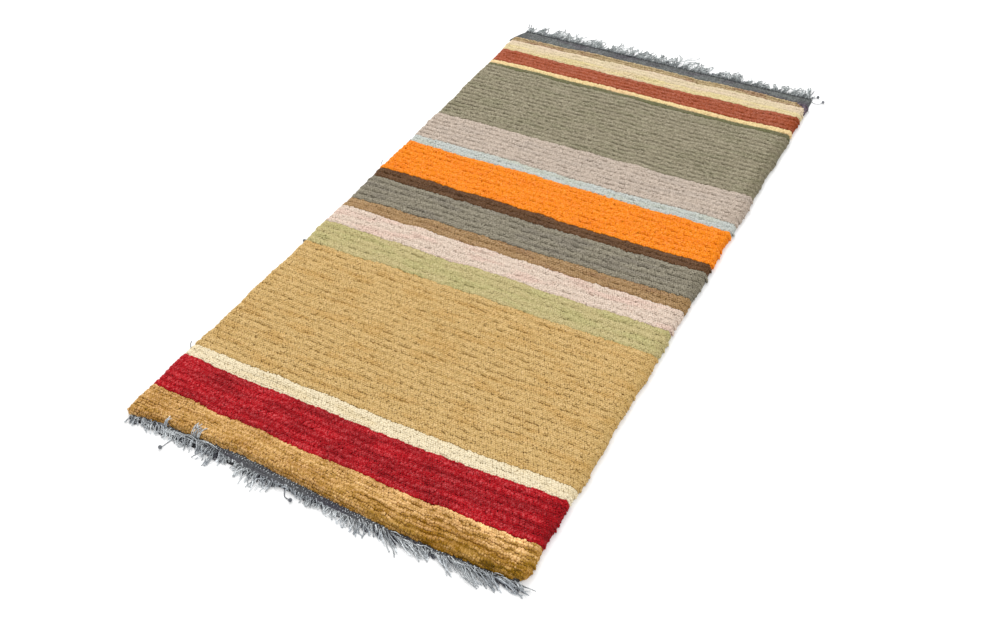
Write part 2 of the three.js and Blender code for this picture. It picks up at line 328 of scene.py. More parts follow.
class YarnSurface(NodeGroup):
    """The shader group that all yarn shares: fibres, uneven dye, and shade toward its foot."""

    NAME = "yarn surface"
    KIND = "ShaderNodeTree"
    INPUTS = dict.fromkeys(
        ("Rise", "Shade", "Fleck", "Speckle", "Shaded Foot", "Patches", "Fibre Scale", "Strands"), "Float"
    )
    OUTPUTS = {"Tone": "Float", "Patch": "Float", "Normal": "Vector"}
    ALONG_ROWS = (1.0, 4.0, 1.0)
    LYING = (1.0, 0.6, 0.8)
    PATCH_SCALE = 14.0
    PATCH_TOP = 0.66
    STRAND_SCALE = 400.0

    @classmethod
    def _fill(cls, tree: bpy.types.NodeTree, given: Any) -> dict[str, Any]:
        """Adds the nodes of the tone, the patches of dye, and the relief of the fibres."""
        place = tree.nodes.new("ShaderNodeTexCoord").outputs["Object"]
        rows, lying = (
            plant(tree, "ShaderNodeMapping", {"Vector": place, "Scale": scale}).outputs[0]
            for scale in (cls.ALONG_ROWS, cls.LYING)
        )
        fibre = cls._noise(tree, place, given["Fibre Scale"], 3.0, 0.6)
        uneven = cls._noise(tree, rows, cls.PATCH_SCALE, 4.0, 0.5)
        cells = {"Vector": lying, "Scale": cls.STRAND_SCALE}
        strand = plant(tree, "ShaderNodeTexVoronoi", cells).outputs
        lot = plant(tree, "ShaderNodeSeparateColor", {0: strand["Color"]}).outputs[0]
        # Painted shade darkens the yarn toward its foot, where its rise is low.
        tone = ranged(tree, given["Rise"], (0.1, 0.8), (given["Shaded Foot"], 1.0), "SMOOTHSTEP")
        for value, source, swing in (
            (given["Shade"], (0.0, 1.0), given["Fleck"]),
            (fibre, (0.3, 0.7), given["Speckle"]),
            (lot, (0.0, 1.0), given["Strands"]),
            (strand["Distance"], (0.75, 0.15), given["Strands"]),
        ):
            less = calculated(tree, "SUBTRACT", 1.0, swing)
            more = calculated(tree, "ADD", 1.0, swing)
            tone = calculated(tree, "MULTIPLY", tone, ranged(tree, value, source, (less, more)))
        edge = calculated(tree, "SUBTRACT", cls.PATCH_TOP, given["Patches"])
        patch = ranged(tree, uneven, (edge, cls.PATCH_TOP), easing="SMOOTHSTEP")
        relief = calculated(tree, "SUBTRACT", fibre, strand["Distance"])
        bump = plant(tree, "ShaderNodeBump", {"Height": relief, "Strength": 0.6, "Distance": 0.0007})
        return {"Tone": tone, "Patch": patch, "Normal": bump.outputs[0]}

    @staticmethod
    def _noise(
        tree: bpy.types.NodeTree, place: Any, scale: Any, detail: float, roughness: float
    ) -> Any:
        """The socket of soft noise with some detail at each place."""
        sockets = {"Vector": place, "Scale": scale, "Detail": detail, "Roughness": roughness}
        return plant(tree, "ShaderNodeTexNoise", sockets).outputs[0]


@dataclass(frozen=True)
class YarnFinish:
    """The finish of one yarn.

    Attributes:
        name: The material's name.
        dye: The yarn's colours.
        sheen: How much its loose fibres catch light at the edges.
        fibre_scale: Fibre bumps in a metre.
        speckle: How much the fibres differ in brightness.
    """

    name: str
    dye: Dye
    sheen: float = 0.04
    fibre_scale: float = 700.0
    speckle: float = 0.12

    def material(self) -> bpy.types.Material:
        """The yarn's material, built once."""
        return bpy.data.materials.get(self.name) or self._build()

    def _build(self) -> bpy.types.Material:
        """Builds the material around the shared yarn surface."""
        made = bpy.data.materials.new(self.name)
        made.use_nodes = True
        tree = made.node_tree
        tree.nodes.clear()
        rise, shade, glow = (
            plant(tree, "ShaderNodeAttribute", attribute_name=name).outputs["Fac"]
            for name in ("rise", "shade", "glow")
        )
        surface = plant(
            tree,
            "ShaderNodeGroup",
            {
                "Rise": rise,
                "Shade": shade,
                "Fleck": self.dye.fleck,
                "Shaded Foot": self.dye.shaded_foot,
                "Patches": 0.5 * self.dye.patches,
                "Fibre Scale": self.fibre_scale,
                "Speckle": self.speckle,
                "Strands": 0.04 + 0.5 * self.dye.fleck,
            },
            node_tree=YarnSurface.tree(),
        ).outputs
        colours = {
            "Factor": surface["Patch"],
            6: linear(self.dye.face),
            7: linear(self.dye.patch),
        }
        dyed = plant(tree, "ShaderNodeMix", colours, data_type="RGBA").outputs[2]
        # The points' painted light brightens the tone, and their painted shade darkens it.
        tone = calculated(tree, "MULTIPLY", surface["Tone"], calculated(tree, "ADD", glow, 1.0))
        # Wool is painted more vivid where it is dark, as in full shade, and paler where it is bright, as
        # under a sheen.
        vivid = ranged(tree, tone, (0.4, 1.4), (1.2, 0.88))
        toned = plant(
            tree, "ShaderNodeHueSaturation", {"Value": tone, "Saturation": vivid, "Color": dyed}
        )
        cloth = plant(
            tree,
            "ShaderNodeBsdfPrincipled",
            {
                "Base Color": toned.outputs[0],
                "Roughness": 0.92,
                "Sheen Weight": self.sheen,
                "Sheen Roughness": 0.6,
                "Specular IOR Level": 0.08,
                "Normal": surface["Normal"],
            },
        )
        plant(tree, "ShaderNodeOutputMaterial", {"Surface": cloth.outputs[0]})
        return made


def cotton_finish(
    name: str, face: Colour, patch: Colour, shaded_foot: float = 0.5, fleck: float = 0.3, coarse: bool = False
) -> YarnFinish:
    """The finish of a cotton yarn.

    Args:
        name: The material's name.
        face: The usual colour.
        patch: The colour of the other half.
        shaded_foot: How bright its low side is in painted shade.
        fleck: How much one thread differs from the next.
        coarse: Whether its fibres are coarse, as a weft's are.

    Returns:
        The finish.
    """
    fibres = (1100.0, 0.2) if coarse else (1500.0,)
    return YarnFinish(name, Dye(face, patch, 0.5, shaded_foot, fleck), 0.05, *fibres)


WARP_YARN = cotton_finish("grey cotton warp", (200, 204, 206), (164, 169, 174), 0.45, 0.42)
FAR_YARN = cotton_finish("weathered cotton warp", (176, 181, 181), (140, 146, 146), 0.6, 0.42)
# This yarn lies under the near fringe, where it stands in for the painted shade between the light threads.
SHADED_YARN = cotton_finish("painted shade cotton warp", (96, 98, 104), (76, 76, 84), fleck=0.4)
# This yarn serves the dark stray threads, and under the far fringe it stands in for painted shade.
LOOSE_YARN = cotton_finish("handled cotton warp and painted shade", (124, 127, 131), (100, 102, 108))
BAND_YARN = cotton_finish("dark grey weft", (102, 105, 103), (86, 84, 88), 0.4, 0.45, coarse=True)
# The near strip's weft is dark grey of its own, and darker still with painted shade.
STRIP_YARN = cotton_finish("charcoal weft with painted shade", (86, 87, 90), (72, 70, 78), coarse=True)
WINDING_YARN = cotton_finish("plum grey winding", (116, 102, 108), (92, 80, 92), coarse=True)


def placed(name: str, data: bpy.types.ID) -> bpy.types.Object:
    """An object with some data, linked to the scene."""
    made = bpy.data.objects.new(name, data)
    bpy.context.scene.collection.objects.link(made)
    return made


def bare_mesh(
    name: str, points: Array, edges: Array = NO_CORNERS, faces: Array = NO_CORNERS
) -> bpy.types.Object:
    """A smooth mesh object in the scene.

    Args:
        name: The piece's name.
        points: Its points, N by 3, in metres in the row frame.
        edges: The ends of its loose edges, M by 2.
        faces: The corners of its faces, M by 3 or 4.

    Returns:
        The object.
    """
    mesh = bpy.data.meshes.new(name)
    mesh.from_pydata(points.tolist(), edges.tolist(), faces.tolist())
    mesh.shade_smooth()
    return placed(name, mesh)


def add_layers(mesh: bpy.types.Mesh, **layers: Any) -> None:
    """Keeps values under some names for the points of a mesh.

    Args:
        mesh: The mesh.
        layers: One number for all points, a number for each, or a vector for each.
    """
    count = len(mesh.vertices)
    for name, values in layers.items():
        numbers = np.ravel(values).astype(np.float32)
        if numbers.size == 1:
            numbers = np.repeat(numbers, count)
        kind, slot = ("FLOAT", "value") if numbers.size == count else ("FLOAT_VECTOR", "vector")
        mesh.attributes.new(name, kind, "POINT").data.foreach_set(slot, numbers)


def bake_nodes(made: bpy.types.Object, tree: bpy.types.NodeTree, values: dict[str, Any]) -> None:
    """Runs a geometry tree on an object and keeps the result as its plain mesh.

    Args:
        made: The object, whose mesh holds the tree's points.
        tree: The geometry node tree.
        values: The tree's inputs by name.
    """
    modifier = made.modifiers.new(tree.name, "NODES")
    modifier.node_group = tree
    for item in tree.interface.items_tree:
        if item.item_type == "SOCKET" and item.in_out == "INPUT" and item.name in values:
            modifier[item.identifier] = values[item.name]
    depsgraph = bpy.context.evaluated_depsgraph_get()
    baked = bpy.data.meshes.new_from_object(
        made.evaluated_get(depsgraph), preserve_all_data_layers=True, depsgraph=depsgraph
    )
    made.modifiers.clear()
    scaffold = made.data
    made.data = baked
    bpy.data.meshes.remove(scaffold)
    baked.name = made.name


def read_off(profile: Profile, places: Array | float) -> Array:
    """A profile's height at some places, straight between the ones that it gives."""
    return np.interp(places, *np.array(profile, float).T)


def closed_loft(rows: int, columns: int) -> Array:
    """The faces of a skin whose sections are closed rings, with a fan at each end.

    Args:
        rows: How many sections it has.
        columns: How many points a section has.

    Returns:
        Triangles, with their faces outward where a section runs up over the left and across.
    """
    row, column = np.meshgrid(np.arange(rows - 1), np.arange(columns), indexing="ij")
    a = (row * columns + column).ravel()
    b = (row * columns + (column + 1) % columns).ravel()
    skin = np.concatenate(
        [np.stack([a, b, b + columns], 1), np.stack([a, b + columns, a + columns], 1)]
    )
    k = np.arange(1, columns - 1)
    first = np.stack([np.zeros_like(k), k + 1, k], 1)
    last = (rows - 1) * columns + np.stack([np.zeros_like(k), k, k + 1], 1)
    return np.concatenate([skin, first, last])


@dataclass(frozen=True)
class RugShape:
    """The rug's plan and the surface of its pile, in millimetres from its near left corner.

    Attributes:
        width: Across the rug, between its side edges.
        band_length: The flat-woven band at the far end, without its last strip.
        strip_width: The strip at each end that holds the fringe.
        rim_radius: How the pile rounds over at the side edges.
        nose_radius: How it rounds over at the near end.
        heel_radius: How it rounds over toward the flat-woven band.
        foot: The height at which the pile starts.
        left_bow: How far the left edge bows inward.
        corner_cut: How far the band's far left corner is drawn in.
        overhang: How far the tufts stand out past the side edges.
        left_round: How far the near left corner is rounded.
        right_round: How far the near right corner is rounded.
        near_line: Places across the rug, and how much further in the near edge lies there.
        near_strip: Places across the rug, and how wide the near strip is there.
        near_blur: The steps across the rug over which the near edge is averaged.
        border_wave: How far a border between stripes wanders.
        border_teeth: How far single knots step over it.
        border_cells: The lengths of its wander and of its steps.
        thin_stripe: The width below which a stripe's border wanders less.
        rib_cells: The lengths of the slow and the quick wander of the ribs.
        corner_draw: How far the pile's corners draw in where it rounds over both ways.
        heel_height: How high the pile still stands where it meets the band, from 0 to 1.
        skyward: How much the tufts of a rim point up rather than outward.
        seed: The seed of the borders' wander.
        left_waves: The waves of the left edge.
        right_waves: The waves of the right edge.
        swells: Height, length across, length along and phase of the pile's soft swells.
    """

    width: float = 692.0
    band_length: float = 29.0
    strip_width: float = 8.3
    rim_radius: float = 10.0
    nose_radius: float = 11.0
    heel_radius: float = 5.0
    foot: float = 2.5
    left_bow: float = 5.0
    corner_cut: float = 4.5
    overhang: float = 2.0
    left_round: float = 1.0
    right_round: float = 20.0
    near_line: Profile = (
        (0, -3), (14, -1), (34, 3), (60, 5), (100, 6), (145, 8), (200, 11), (240, 10), (300, 6),
        (350, 3), (400, 0.5), (450, -2), (490, -4.5), (560, -4), (620, -2.5), (692, -1),
    )
    near_strip: Profile = (
        (0, 6), (60, 8), (120, 10), (180, 13), (205, 17), (290, 17), (330, 14), (440, 13), (540, 10),
        (692, 8),
    )
    near_blur: tuple[float, ...] = (-24, -12, 0, 12, 24)
    border_wave: float = 2.4
    border_teeth: float = 1.4
    border_cells: tuple[float, float] = (45.0, 5.0)
    thin_stripe: float = 20.0
    rib_cells: tuple[float, float] = (34.0, 9.0)
    corner_draw: float = 2.5
    heel_height: float = 0.3
    skyward: float = 0.15
    seed: int = 40
    left_waves: tuple[Wave, ...] = (Wave(1.1, 195, 0), Wave(0.7, 69, 1))
    right_waves: tuple[Wave, ...] = (Wave(1.2, 232, 2), Wave(0.8, 82, 0))
    swells: tuple[tuple[float, ...], ...] = ((0.4, 333, 547, 0), (0.3, 182, -258, 2))

    @property
    def pile_length(self) -> float:
        """The pile's length along the rug."""
        return sum(stripe.width for stripe in STRIPES)

    @property
    def cloth_length(self) -> float:
        """The whole cloth's length, with its band."""
        return self.pile_length + self.band_length

    def left_edge(self, y: Array) -> Array:
        """The left edge's place across the rug."""
        bow = self.left_bow * np.sin(math.pi * np.clip(y / self.cloth_length, 0, 1))
        beyond = np.clip((y - self.pile_length) / self.band_length, 0, 1.2)
        return bow + sum(wave.at(y) for wave in self.left_waves) + self.corner_cut * beyond

    def right_edge(self, y: Array) -> Array:
        """The right edge's place across the rug."""
        return self.width + sum(wave.at(y) for wave in self.right_waves)

    def near_edge(self, x: Array) -> Array:
        """How much further in than a straight line the near edge lies."""
        return sum(read_off(self.near_line, x + step) for step in self.near_blur) / len(self.near_blur)

    def weave_line(self, end: End, x: Array, y: Array) -> Array:
        """Where a point of an end's flat weave lies along the rug, from its place in a straight one."""
        if end is End.FAR:
            return y + np.zeros_like(x)
        width = read_off(self.near_strip, x)
        return self.near_edge(x) + np.where(y < 0, y * width / self.strip_width, y)

    def borders(self) -> Array:
        """How far each border between stripes strays, a row for each and a place a millimetre."""
        rng = np.random.default_rng(self.seed)
        x = np.arange(0.0, self.width + 1)
        across = 2 * x / self.width - 1
        slow, quick = self.border_cells
        wander = self.border_wave * (smooth_noise(rng, len(STRIPES), x, slow) - 0.5) * 2
        teeth = self.border_teeth * (smooth_noise(rng, len(STRIPES), x, quick) - 0.5) * 2
        sides = np.array([[stripe.left, stripe.right] for stripe in STRIPES])
        stray = np.where(across < 0, sides[:, :1], sides[:, 1:]) * across**2
        small = np.array([min(1.0, stripe.width / self.thin_stripe) for stripe in STRIPES])
        return np.concatenate([self.near_edge(x)[None], stray + (wander + teeth) * small[:, None]])

    def stray(self, borders: Array, index: int, done: Array, share: Array) -> Array:
        """How far a point of a stripe strays along the rug.

        Args:
            borders: The borders' strays.
            index: The stripe's place in the table.
            done: How far through the stripe the point lies, from 0 to 1.
            share: How far across the rug it lies, from 0 to 1.

        Returns:
            Its stray in millimetres.
        """
        place = share * self.width
        places = np.arange(borders.shape[1])
        near = np.interp(place, places, borders[index])
        stray = near + (np.interp(place, places, borders[index + 1]) - near) * done
        ribs = STRIPES[index].ribs
        steps = np.broadcast_to(np.clip(done * ribs, 0, ribs), stray.shape)
        low = np.minimum(steps.astype(int), ribs - 1)
        column = np.clip(np.rint(np.broadcast_to(place, stray.shape)).astype(int), 0, len(places) - 1)
        lines = self.rib_lines(index)
        nearer = lines[low, column]
        return stray + nearer + (lines[low + 1, column] - nearer) * (steps - low)

    def rib_lines(self, index: int) -> Array:
        """How far each valley of a stripe wanders, a row for each and a place a millimetre."""
        stripe = STRIPES[index]
        rng = np.random.default_rng(self.seed + 100 + index)
        x = np.arange(0.0, self.width + 1)
        slow, quick = (smooth_noise(rng, stripe.ribs + 1, x, cell) - 0.5 for cell in self.rib_cells)
        lines = stripe.wander * (2 * slow + 1.2 * quick)
        lines[[0, -1]] = 0.0
        return lines

    def lumps(self, x: Array, y: Array) -> Array:
        """How far the hand-clipped pile rises and falls."""
        return sum(
            size * np.sin(math.tau * (x / across + y / along) + phase)
            for size, across, along, phase in self.swells
        )

    def to_frame(self, points: Array) -> Array:
        """Points on the rug as points in the row frame.

        Args:
            points: In millimetres from the rug's near left corner, last axis x, y, z.

        Returns:
            The same points in metres in the row frame.
        """
        low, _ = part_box("rug_cloth")
        leftmost = self.left_edge(np.linspace(0, self.cloth_length, 600)).min()
        furthest_out = min(shift for _, shift in self.near_line)
        corner = np.array([low[0] - leftmost * MM, low[1] - furthest_out * MM, 0.0])
        return points * MM + corner

    def surface(self, share: Array, along: Array, height: Array) -> tuple[Array, Array]:
        """The pile's surface and the way it faces.

        Args:
            share: How far across, from 0 at the left rim's foot to 1 at the right rim's.
            along: Millimetres along the surface, from the near nose's foot at minus its extra.
            height: The pile's height at each point.

        Returns:
            Points and unit normals, with x, y, z on the last axis.
        """
        nose, heel, rim = self.nose_radius, self.heel_radius, self.rim_radius
        quarter = math.pi / 2
        turn_near = np.clip((along + nose * (quarter - 1)) / nose, 0, quarter)
        past = self.pile_length + heel * (quarter - 1)
        turn_far = np.clip((past - along) / heel, 0, quarter)
        y = np.clip(along, nose, self.pile_length - heel)
        y = np.where(turn_near < quarter, nose * (1 - np.cos(turn_near)), y)
        y = np.where(turn_far < quarter, self.pile_length - heel * (1 - np.cos(turn_far)), y)
        left = self.left_edge(y) - self.overhang + rounded(y, self.left_round)
        right = self.right_edge(y) + self.overhang - rounded(y, self.right_round)
        span = right - left - 2 * rim + math.pi * rim
        over = share * span
        turn_left = np.clip(over / rim, 0, quarter)
        turn_right = np.clip((span - over) / rim, 0, quarter)
        x = left + rim + over - rim * quarter
        x = np.where(turn_left < quarter, left + rim * (1 - np.cos(turn_left)), x)
        x = np.where(turn_right < quarter, right - rim * (1 - np.cos(turn_right)), x)
        rise_across = np.sin(turn_left) * np.sin(turn_right)
        rise_along = np.sin(turn_near) * np.maximum(np.sin(turn_far), self.heel_height)
        inward = self.corner_draw * (1 - rise_along) * (np.cos(turn_left) - np.cos(turn_right))
        onward = self.corner_draw * (1 - rise_across) * np.cos(turn_near)
        z = self.foot + (height - self.foot) * rise_across * rise_along
        points = np.stack([x + inward, y + onward, z], -1)
        normals = np.stack(
            [
                np.cos(turn_right) - np.cos(turn_left),
                np.cos(turn_far) - np.cos(turn_near),
                rise_across * rise_along + self.skyward,
            ],
            -1,
        )
        return points, normals / np.linalg.norm(normals, axis=-1, keepdims=True)


def rounded(depth: Array, radius: float) -> Array:
    """How far a side edge draws in toward a rounded corner.

    Args:
        depth: The distance past the corner's end.
        radius: The corner's radius.

    Returns:
        The distance that it draws in, which is nothing past the radius.
    """
    left_over = np.clip(1 - depth / radius, 0, 1)
    return radius * (1 - np.sqrt(1 - left_over**2))


def smooth_noise(rng: np.random.Generator, rows: int, places: Array, cell: float) -> Array:
    """Soft random numbers from 0 to 1 along each of several lines.

    Args:
        rng: The source of the numbers.
        rows: How many lines there are.
        places: The places along a line.
        cell: The distance between two free numbers.

    Returns:
        One line of numbers for each row.
    """
    steps = places / cell
    low = np.floor(steps).astype(int)
    ease = steps - low
    ease = ease * ease * (3 - 2 * ease)
    free = rng.random((rows, low.max() + 2))
    return free[:, low] * (1 - ease) + free[:, low + 1] * ease


def ramp(places: Array, length: float, lead: float) -> Array:
    """A climb from 0 to 1 over a length, after a lead of so many lengths."""
    return np.clip(places / length - lead, 0, 1)


def slab(
    shape: RugShape, name: str, points: Array, finishes: list[YarnFinish]
) -> tuple[bpy.types.Object, Array]:
    """A closed slab that stands on the floor, from rows of points across the rug.

    Args:
        shape: The rug's plan.
        name: The piece's name.
        points: The points of its top, in millimetres, row by row.
        finishes: Its finishes, in slot order.

    Returns:
        The piece, and the row in which each of its faces starts.
    """
    feet = points[:, [0, -1]] * (1.0, 1.0, 0.0)
    ring = np.concatenate([feet[:, :1], points, feet[:, 1:]], 1)
    faces = closed_loft(*ring.shape[:2])
    made = bare_mesh(name, shape.to_frame(ring.reshape(-1, 3)), faces=faces)
    for finish in finishes:
        made.data.materials.append(finish.material())
    LOG.info("%s: %d faces", name, len(faces))
    return made, faces.min(axis=1) // ring.shape[1]


class YarnTree(NodeGroup):
    """A geometry tree that puts yarn on points."""

    @staticmethod
    def _read(tree: bpy.types.NodeTree, name: str, kind: str = "FLOAT") -> Any:
        """The socket of an attribute that the points carry."""
        node = plant(tree, "GeometryNodeInputNamedAttribute", {"Name": name}, data_type=kind)
        return next(socket for socket in node.outputs if socket.enabled and socket.name == "Attribute")

    @staticmethod
    def _dyed(tree: bpy.types.NodeTree, geometry: Any, yarn: Any) -> dict[str, Any]:
        """The tree's output: some geometry made real, smooth and dyed."""
        for kind in ("GeometryNodeRealizeInstances", "GeometryNodeSetShadeSmooth"):
            geometry = plant(tree, kind, {"Geometry": geometry}).outputs[0]
        dyed = plant(tree, "GeometryNodeSetMaterial", {"Geometry": geometry, "Material": yarn})
        return {"Geometry": dyed.outputs[0]}


class TuftTree(YarnTree):
    """The geometry tree that stands one tuft of cut yarn on each point."""

    NAME = "cut tufts"
    INPUTS = {"Geometry": "Geometry", "Sides": "Int", "Shoulder": "Float", "Yarn": "Material"}

    @classmethod
    def _fill(cls, tree: bpy.types.NodeTree, given: Any) -> dict[str, Any]:
        """Adds the nodes of a blunt tuft, turned and sized by its point."""
        blob = plant(tree, "GeometryNodeMeshUVSphere", {"Segments": given["Sides"], "Rings": 2})
        where = tree.nodes.new("GeometryNodeInputPosition").outputs[0]
        height = plant(tree, "ShaderNodeSeparateXYZ", {0: where}).outputs["Z"]
        belt = plant(tree, "FunctionNodeCompare", {0: height, 1: 0.0, "Epsilon": 0.5}, operation="EQUAL")
        lift = plant(tree, "ShaderNodeCombineXYZ", {"Z": given["Shoulder"]}).outputs[0]
        raised = {"Geometry": blob.outputs["Mesh"], "Selection": belt.outputs[0], "Offset": lift}
        blunt = plant(tree, "GeometryNodeSetPosition", raised).outputs[0]
        # Each point's rise, from the tuft's foot to its top, sets the painted shade toward the foot.
        marked = plant(
            tree,
            "GeometryNodeStoreNamedAttribute",
            {"Geometry": blunt, "Name": "rise", "Value": ranged(tree, height, (-1.0, 1.0))},
            data_type="FLOAT",
            domain="POINT",
        )
        up = cls._read(tree, "up", "FLOAT_VECTOR")
        girth, reach, angle = (cls._read(tree, name) for name in ("girth", "reach", "turn"))
        stood = plant(tree, "FunctionNodeAlignRotationToVector", {"Vector": up}, axis="Z").outputs[0]
        spin = plant(
            tree, "FunctionNodeAxisAngleToRotation", {"Axis": (0.0, 0.0, 1.0), "Angle": angle}
        ).outputs[0]
        turned = plant(
            tree,
            "FunctionNodeRotateRotation",
            {"Rotation": stood, "Rotate By": spin},
            rotation_space="LOCAL",
        )
        size = plant(tree, "ShaderNodeCombineXYZ", {"X": girth, "Y": girth, "Z": reach})
        tufts = plant(
            tree,
            "GeometryNodeInstanceOnPoints",
            {
                "Points": given["Geometry"],
                "Instance": marked.outputs[0],
                "Rotation": turned.outputs[0],
                "Scale": size.outputs[0],
            },
        )
        return cls._dyed(tree, tufts.outputs[0], given["Yarn"])


def stripe_finish(stripe: Stripe) -> YarnFinish:
    """The finish of a stripe's wool."""
    return YarnFinish(f"{stripe.name} wool", stripe.dye)


@dataclass
class Bed:
    """The places of one stripe's tufts, in rows along the rug and columns across it.

    Attributes:
        stripe: The stripe.
        index: Its place in the table.
        spots: The columns' places across the rug, in millimetres.
        share: How far across the rug each tuft stands, from 0 to 1.
        along: How far along it, in millimetres.
        nearness: How near to the valley beside its rib, from 0 to 1.
        side: The way from that valley to the rib's crest, 1 onward and -1 back.
        gates: How far that valley stands open.
        grooved: How much wider the valleys stand in each column.
        done: How far through the stripe, from 0 to 1.
        nose: How near to the foot of the near end.
    """

    stripe: Stripe
    index: int
    spots: Array
    share: Array
    along: Array
    nearness: Array
    side: Array
    gates: Array
    grooved: Array
    done: Array
    nose: Array


@dataclass
class Pile:
    """The cut pile: one piece of tufts for each stripe.

    Attributes:
        shape: The rug's plan.
        column_pitch: The distance between tufts across the rug, in millimetres.
        rib_width: The usual width of a rib, in millimetres.
        rows_per_rib: The rows of tufts in such a rib.
        jitter: How unevenly tufts stand across and along, in pitches, and in height.
        gate_cells: How far the valleys' openings and their depths hold across the rug.
        gate_start: The noise from which a valley opens.
        gate_span: The noise over which it opens whole.
        cleft: How far a rib's edge draws back from its valley, in millimetres.
        sink: How much lower a rib's edge stands than its crest, in millimetres.
        groove_ramp: The length over which grooves widen, and how many lengths in they start to.
        painted_shading_ramp: The same for the painted shade on a stripe's near side.
        streak_cell: How wide a streak of that painted shade is.
        tuft_radius: A tuft's half width, in millimetres.
        tuft_reach: A tuft's half height, in millimetres.
        shoulder: How high its widest part lies, from its middle at 0 to its top at 1.
        lean: How unevenly tufts lean.
        missing: The share of tufts that are missing.
        notch: How far the rims draw in between two ribs, in millimetres.
        fray: How unevenly whole rows reach past the rims, in millimetres.
        rim_shade: How much painted shade darkens the right rim, against the yarn's flecks.
        wrap_start: Where along the rug the winding of the far right corner starts.
        wrap_run: The length over which it reaches its width.
        wrap_width: How far it reaches up the right rim.
        corner: The tufts that the winding covers, found while the stripes are built.
        seed: The seed of all that is random here.
    """

    shape: RugShape
    column_pitch: float = 3.7
    rib_width: float = 14.2
    rows_per_rib: int = 4
    jitter: tuple[float, float, float] = (0.11, 0.07, 0.27)
    gate_cells: tuple[float, float] = (6.5, 23.0)
    gate_start: float = 0.86
    gate_span: float = 0.25
    cleft: float = 0.9
    sink: float = 1.5
    groove_ramp: tuple[float, float] = (110.0, 3.6)
    painted_shading_ramp: tuple[float, float] = (300.0, 1.1)
    streak_cell: float = 14.0
    tuft_radius: float = 2.7
    tuft_reach: float = 3.2
    shoulder: float = 0.72
    lean: float = 0.1
    missing: float = 0.002
    notch: float = 2.4
    fray: float = 1.1
    rim_shade: float = 0.6
    wrap_start: float = 1296.0
    wrap_run: float = 35.0
    wrap_width: float = 33.0
    corner: list[tuple[Array, Array]] = field(default_factory=list)
    seed: int = 7

    def build(self) -> list[bpy.types.Object]:
        """Builds every stripe's tufts.

        Returns:
            The pieces, from the near end to the far one.
        """
        borders = self.shape.borders()
        pieces = []
        start = 0.0
        for index, stripe in enumerate(STRIPES):
            pieces.append(self._stripe(index, stripe, start, borders))
            start += stripe.width
        return pieces

    def _stripe(
        self, index: int, stripe: Stripe, start: float, borders: Array
    ) -> bpy.types.Object:
        """Builds one stripe's tufts.

        Args:
            index: The stripe's place in the table.
            stripe: The stripe.
            start: Where it starts along the rug, in millimetres.
            borders: The borders' strays.

        Returns:
            The stripe's piece.
        """
        rng = np.random.default_rng(self.seed + index)
        bed = self._bed(rng, index, stripe, start)
        points, up = self._standing(rng, bed, borders)
        shade = self._shade(rng, bed)
        keep = rng.random(shade.shape) > self.missing
        wrap = self.wrap_width * np.clip((bed.along - self.wrap_start) / self.wrap_run, 0, 1)
        wrapped = keep & ((1 - bed.share) * self.shape.width < wrap)
        keep &= ~wrapped
        self.corner.append((points[wrapped], up[wrapped]))
        # Painted shade on the stripe's near side, and painted light on its far side.
        glow = self._glow(bed)[keep]
        name = f"pile_{stripe.name}"
        return self._tufts(rng, name, points[keep], up[keep], shade[keep], stripe_finish(stripe), glow)

    def _bed(self, rng: np.random.Generator, index: int, stripe: Stripe, start: float) -> Bed:
        """Spreads one stripe's tufts over its ribs.

        Args:
            rng: The source of what is random.
            index: The stripe's place in the table.
            stripe: The stripe.
            start: Where it starts along the rug, in millimetres.

        Returns:
            The tufts' places.
        """
        pitch = stripe.width / stripe.ribs
        per_rib = max(2, round(self.rows_per_rib * pitch / self.rib_width))
        step = pitch / per_rib
        nose_radius = self.shape.nose_radius
        extra_near = math.ceil((math.pi / 2 - 1) * nose_radius / step) if index == 0 else 0
        extra_far = 2 if index == len(STRIPES) - 1 else 0
        order = np.arange(-extra_near, stripe.ribs * per_rib + extra_far)
        columns = round(self.shape.width / self.column_pitch)
        spots = np.arange(columns) * self.column_pitch
        phase = (order % per_rib + 0.5) / per_rib
        valley = np.clip(order // per_rib + (phase >= 0.5) + 1, 0, stripe.ribs + 1)
        gates, grooved = self._gates(rng, stripe, spots)
        gates = gates[valley]
        nearness = np.abs(2 * phase - 1)[:, None] ** 1.5
        side = np.where(phase < 0.5, 1.0, -1.0)[:, None]
        size = (len(order), columns)
        shift = 0.5 * (order % 2)[:, None] + 0.25
        across, onward, _ = self.jitter
        share = (np.arange(columns)[None, :] + shift + across * rng.standard_normal(size)) / columns
        share = np.clip(share, 0.0, 1.0)
        along = (start + (order[:, None] + 0.5) * step) + onward * step * rng.standard_normal(size)
        # Rows beside a valley draw back from it, and more where it stands open.
        along = along + side * nearness * (0.4 + self.cleft * gates)
        done = np.clip((along - start) / stripe.width, 0, 1)
        nose = (start == 0) * np.clip(1.6 - along / nose_radius, 0, 1)
        return Bed(stripe, index, spots, share, along, nearness, side, gates, grooved, done, nose)

    def _gates(self, rng: np.random.Generator, stripe: Stripe, spots: Array) -> tuple[Array, Array]:
        """How far a stripe's valleys stand open at each place across the rug.

        Args:
            rng: The source of what is random.
            stripe: The stripe.
            spots: The places.

        Returns:
            A row of openings for each valley, and how much wider all are at each place.
        """
        valleys = stripe.ribs + 2
        noise, depths = (smooth_noise(rng, valleys, spots, cell) for cell in self.gate_cells)
        grooved = stripe.grooves * ramp(spots, *self.groove_ramp)
        gates = noise + grooved * np.linspace(1.2, 0.3, valleys)[:, None]
        gates = (gates - self.gate_start + 0.6 * stripe.clefts) / self.gate_span
        return np.clip(gates, 0, 1 + stripe.grooves) * (0.5 + depths), grooved

